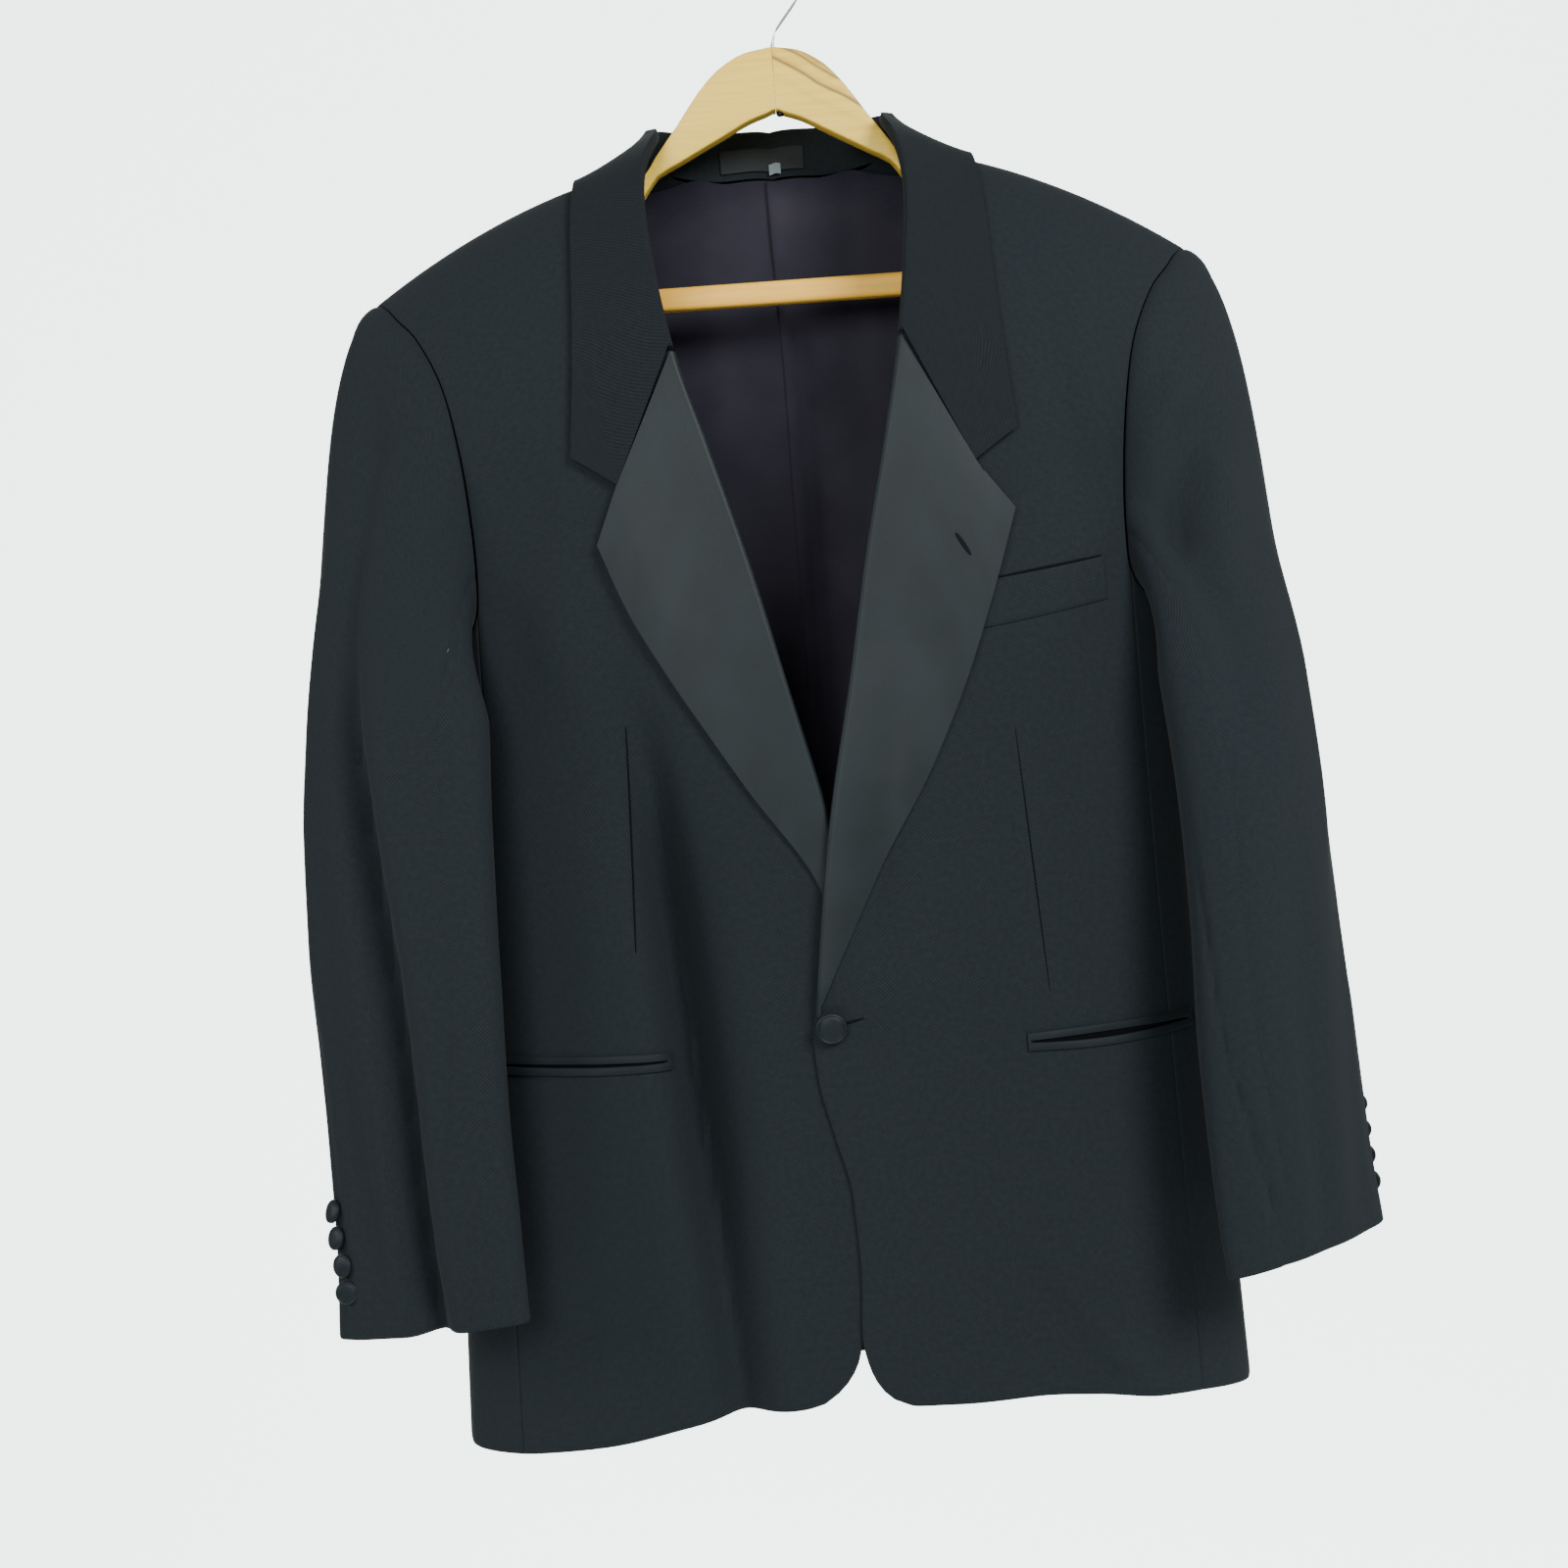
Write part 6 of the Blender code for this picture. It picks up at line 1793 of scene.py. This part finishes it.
STATIONS = [0.0, 0.0020, 0.0060, 0.0110, 0.0165, 0.0225, 0.0290, 0.0350, 0.0410, 0.0480, 0.0550, 0.0620,
            0.0690, 0.0760, 0.0800, 0.0835, 0.0880, 0.0930, 0.1000, 0.1120, 0.1250, 0.1380, 0.1500, 0.1630,
            0.1720, 0.1762, 0.1768, 0.1820, 0.1890, 0.1960, 0.2000, 0.2040, 0.2070, 0.2092]
print("arm at 0.1 m:", rounded(arm_heights(0.1), 4))

# %% Push an arm outward from the mitre
MITRE_GAP = 0.00012


def hanger_arm(name, sign, material):
    def station(x):
        top, under = arm_heights(x)
        shifted = sign * max(x, MITRE_GAP) + HANGER_SHIFT * max(1 - x / 0.1, 0.0)
        return shifted, (top + under) / 2, top - under

    at, middle, high = station(0.0)
    after = station(STATIONS[1])[0]
    arm = open_shape(name, "FACE", bpy.ops.mesh.primitive_cube_add, size=1.0,
                     location=((at + after) / 2, 0, middle),
                     scale=(abs(after - at), HANGER_THICKNESS, high))
    pick(arm.data, "faces", lambda f: f.normal.x * sign > 0.9)
    at = after
    for x in STATIONS[2:]:
        new_at, new_middle, new_high = station(x)
        step = (new_at - at, 0, new_middle - middle)
        bpy.ops.mesh.extrude_region_move(TRANSFORM_OT_translate={"value": step})
        bpy.ops.transform.resize(value=(1, 1, new_high / high), center_override=(new_at, 0, new_middle))
        at, middle, high = new_at, new_middle, new_high
    bpy.ops.mesh.select_all(action="SELECT")
    bpy.ops.mesh.normals_make_consistent(inside=False)
    bpy.ops.mesh.select_mode(type="EDGE")
    pick(arm.data, "edges", lambda e: len(e.link_faces) == 2 and e.calc_length() > 0.0003
         and abs(e.verts[0].co.y - e.verts[1].co.y) < 0.001
         and abs(abs(e.link_faces[0].normal.y) - abs(e.link_faces[1].normal.y)) > 0.8
         and not all(abs(v.co.x - HANGER_SHIFT) < 0.001 for v in e.verts))
    bpy.ops.mesh.bevel(offset=HANGER_EASE, segments=4, profile=0.5, affect="EDGES", clamp_overlap=True)
    close_shape(arm, material, 35)
    finish_piece(arm, ["hanger_arms"])
    return arm


for side, sign, wood in (("right", -1, plain_wood), ("left", 1, figured_wood)):
    arm = hanger_arm("hanger_arm_" + side, sign, wood)
    print(arm.name, len(arm.data.polygons), "faces")

# %% [markdown]
# ## Bar and hook
# The trouser bar is a flat stick let into both arms.  The hook is one piece of steel wire:
# a round section carried round a half circle, then drawn down a leaning stem into the
# wood.  Its screw end comes out where the arms meet underneath.

# %% Trouser bar
bar = open_shape("trouser_bar_beech", "EDGE", bpy.ops.mesh.primitive_cube_add, size=1.0,
                 location=(0, 0, BAR_TOP_Z - BAR_HEIGHT / 2),
                 scale=(BAR_END_X * 2, BAR_THICKNESS, BAR_HEIGHT))
pick(bar.data, "edges", lambda e: abs(e.verts[0].co.x - e.verts[1].co.x) > 0.1)
bpy.ops.mesh.bevel(offset=0.0028, segments=4, profile=0.5, affect="EDGES")
close_shape(bar, bar_wood, 50)
finish_piece(bar, ["hanger_bar"])
print("bar:", size_mm(bar), "mm")

# %% Half round of the wire
HOOK_WIRE = 0.0040
HOOK_RADIUS = 0.0220            # inside radius of the hook
HALF_ROUND = (20.0, 200.0)      # where it begins and ends, in degrees from +X
WIRE_CENTRE = HOOK_RADIUS + HOOK_WIRE / 2
begin, end = (radians(angle) for angle in HALF_ROUND)
start = Vector((WIRE_CENTRE * cos(begin), 0, -HOOK_RADIUS + WIRE_CENTRE * sin(begin)))

wire = open_shape("hook_wire", "EDGE", bpy.ops.mesh.primitive_circle_add, vertices=16,
                  radius=HOOK_WIRE / 2, location=start, rotation=(0, -begin, 0))
bpy.ops.mesh.select_all(action="SELECT")
bpy.ops.mesh.spin(steps=30, angle=end - begin, center=(0, 0, -HOOK_RADIUS), axis=(0, 1, 0))
bpy.ops.object.mode_set(mode="OBJECT")
print("half round:", size_mm(wire), "mm")

# %% Its stem, down into the wood
STEM = ((0.0250, -0.0190), (0.0264, -0.0245), (0.0266, -0.0300), (0.0240, -0.0362), (0.0206, -0.0404),
        (0.0172, -0.0446), (0.0138, -0.0488), (0.0106, -0.0528), (0.0083, -0.0560), (0.0068, -0.0592),
        (0.0058, -0.0640), (0.0053, -0.0700), (HANGER_SHIFT, -0.0820))

path = [start] + [Vector((x, 0, z)) for x, z in STEM]
leans = []
for i, point in enumerate(path):
    way = path[max(i - 1, 0)] - path[min(i + 1, len(path) - 1)]
    leans.append(atan2(way.x, way.z))
leans[0] = -begin
bpy.ops.object.mode_set(mode="EDIT")
pick(wire.data, "edges", lambda e: all((v.co - start).length < HOOK_WIRE * 0.51 for v in e.verts))
for i in range(1, len(path)):
    bpy.ops.mesh.extrude_region_move(TRANSFORM_OT_translate={"value": path[i] - path[i - 1]})
    bpy.ops.transform.rotate(value=leans[i] - leans[i - 1], orient_axis="Y", center_override=path[i])
bpy.ops.mesh.select_all(action="DESELECT")
bpy.ops.mesh.select_non_manifold(extend=False, use_wire=False, use_multi_face=False,
                                 use_non_contiguous=False, use_verts=False)
bpy.ops.mesh.edge_face_add()
bpy.ops.mesh.select_all(action="SELECT")
bpy.ops.mesh.remove_doubles(threshold=0.00001)
bpy.ops.mesh.normals_make_consistent(inside=False)
close_shape(wire, steel, 50)
finish_piece(wire, ["hook"])
print("wire:", len(wire.data.polygons), "faces, foot at", rounded(path[-1], 4))

# %% Screw end under the mitre
SCREW_RADIUS, SCREW_LENGTH, SCREW_Z = 0.0024, 0.0030, -0.1096
screw = open_shape("screw_end", "FACE", bpy.ops.mesh.primitive_cylinder_add, vertices=20,
                   radius=SCREW_RADIUS, depth=SCREW_LENGTH, location=(HANGER_SHIFT + 0.0028, 0, SCREW_Z))
pick(screw.data, "faces", lambda f: f.normal.z < -0.9)
bpy.ops.mesh.inset(thickness=0.0005, depth=0.0003)
bpy.ops.mesh.select_mode(type="EDGE")
pick(screw.data, "edges", lambda e: e.calc_face_angle(0) > 1.0)
bpy.ops.mesh.bevel(offset=0.0003, segments=2, affect="EDGES")
close_shape(screw, blackened)
finish_piece(screw, [])
print("screw end:", len(screw.data.polygons), "faces")

# %% [markdown]
# ## Studio
# The jacket hangs two metres above a pale floor.  A bright wall stands far behind, so that
# no shadow falls on it.  A soft light high on the right models the folds and a weaker one
# stands in front.  One beside each sleeve traces its edge, and the room gives the rest.

# %% Floor and wall
FLOOR_Z, FLOOR_WIDTH = -2.10, 12.0
WALL_Y, WALL_WIDTH = 2.80, 3.80
paint = plain("matt studio paint, near white", "#E9F0EE", 0.95)
glow = plain("backlit studio wall, near white", "#E9F0EE", 0.95, Emission_Color=colour("#E4F3EC"),
             Emission_Strength=3.6)


def studio_square(name, place, turn, width, material):
    bpy.ops.object.select_all(action="DESELECT")
    bpy.ops.mesh.primitive_plane_add(size=1.0, location=(0, 0, 0))
    made = bpy.context.object
    made.name = name
    made.data.transform(Matrix.Translation(place) @ Matrix.Rotation(turn, 4, "X")
                        @ Matrix.Diagonal((width, width, 1.0, 1.0)))
    made.data.materials.append(material)
    return made


floor = studio_square("studio_floor", (0, 0, FLOOR_Z), 0.0, FLOOR_WIDTH, paint)
wall = studio_square("studio_wall", (0, WALL_Y, FLOOR_Z + WALL_WIDTH / 2), pi / 2, WALL_WIDTH, glow)
print("floor at", FLOOR_Z, "wall at", WALL_Y)

# %% Light
def soft_light(name, place, aim, size, power, tint="#FFFFFF"):
    data = bpy.data.lights.new(name, "AREA")
    data.shape = "DISK"
    data.size = size
    data.energy = power
    data.color = colour(tint)[:3]
    made = bpy.data.objects.new(name, data)
    bpy.context.scene.collection.objects.link(made)
    made.location = place
    made.rotation_mode = "QUATERNION"
    made.rotation_quaternion = (Vector(aim) - Vector(place)).to_track_quat("-Z", "Y")
    return made


soft_light("front", (-1.0, -3.2, 0.3), (0.0, 0.0, -0.5), 1.8, 98)
soft_light("right", (1.7, -2.5, 1.1), (0.0, 0.0, -0.5), 1.4, 152)
soft_light("left edge", (-2.6, -0.5, 0.0), (-0.3, 0.0, -0.6), 1.0, 40)
soft_light("right edge", (2.6, -0.25, 0.0), (0.3, 0.0, -0.6), 1.0, 30)
world = bpy.data.worlds.new("studio")
world.use_nodes = True
world.node_tree.nodes["Background"].inputs["Color"].default_value = colour("#F1F7F6")
world.node_tree.nodes["Background"].inputs["Strength"].default_value = 0.22
bpy.context.scene.world = world

# %% Camera
CAMERA_PLACE = (-0.0211, -1.6, -0.5466)
CAMERA_ROLL = radians(-4.1)
camera_data = bpy.data.cameras.new("camera")
camera_data.lens = 56.25
camera_data.sensor_width = 36.0
camera = bpy.data.objects.new("camera", camera_data)
bpy.context.scene.collection.objects.link(camera)
camera.matrix_world = (Matrix.Translation(CAMERA_PLACE) @ Matrix.Rotation(pi / 2, 4, "X")
                       @ Matrix.Rotation(CAMERA_ROLL, 4, "Z"))
bpy.context.scene.camera = camera
print("camera at", rounded(camera.matrix_world.translation))
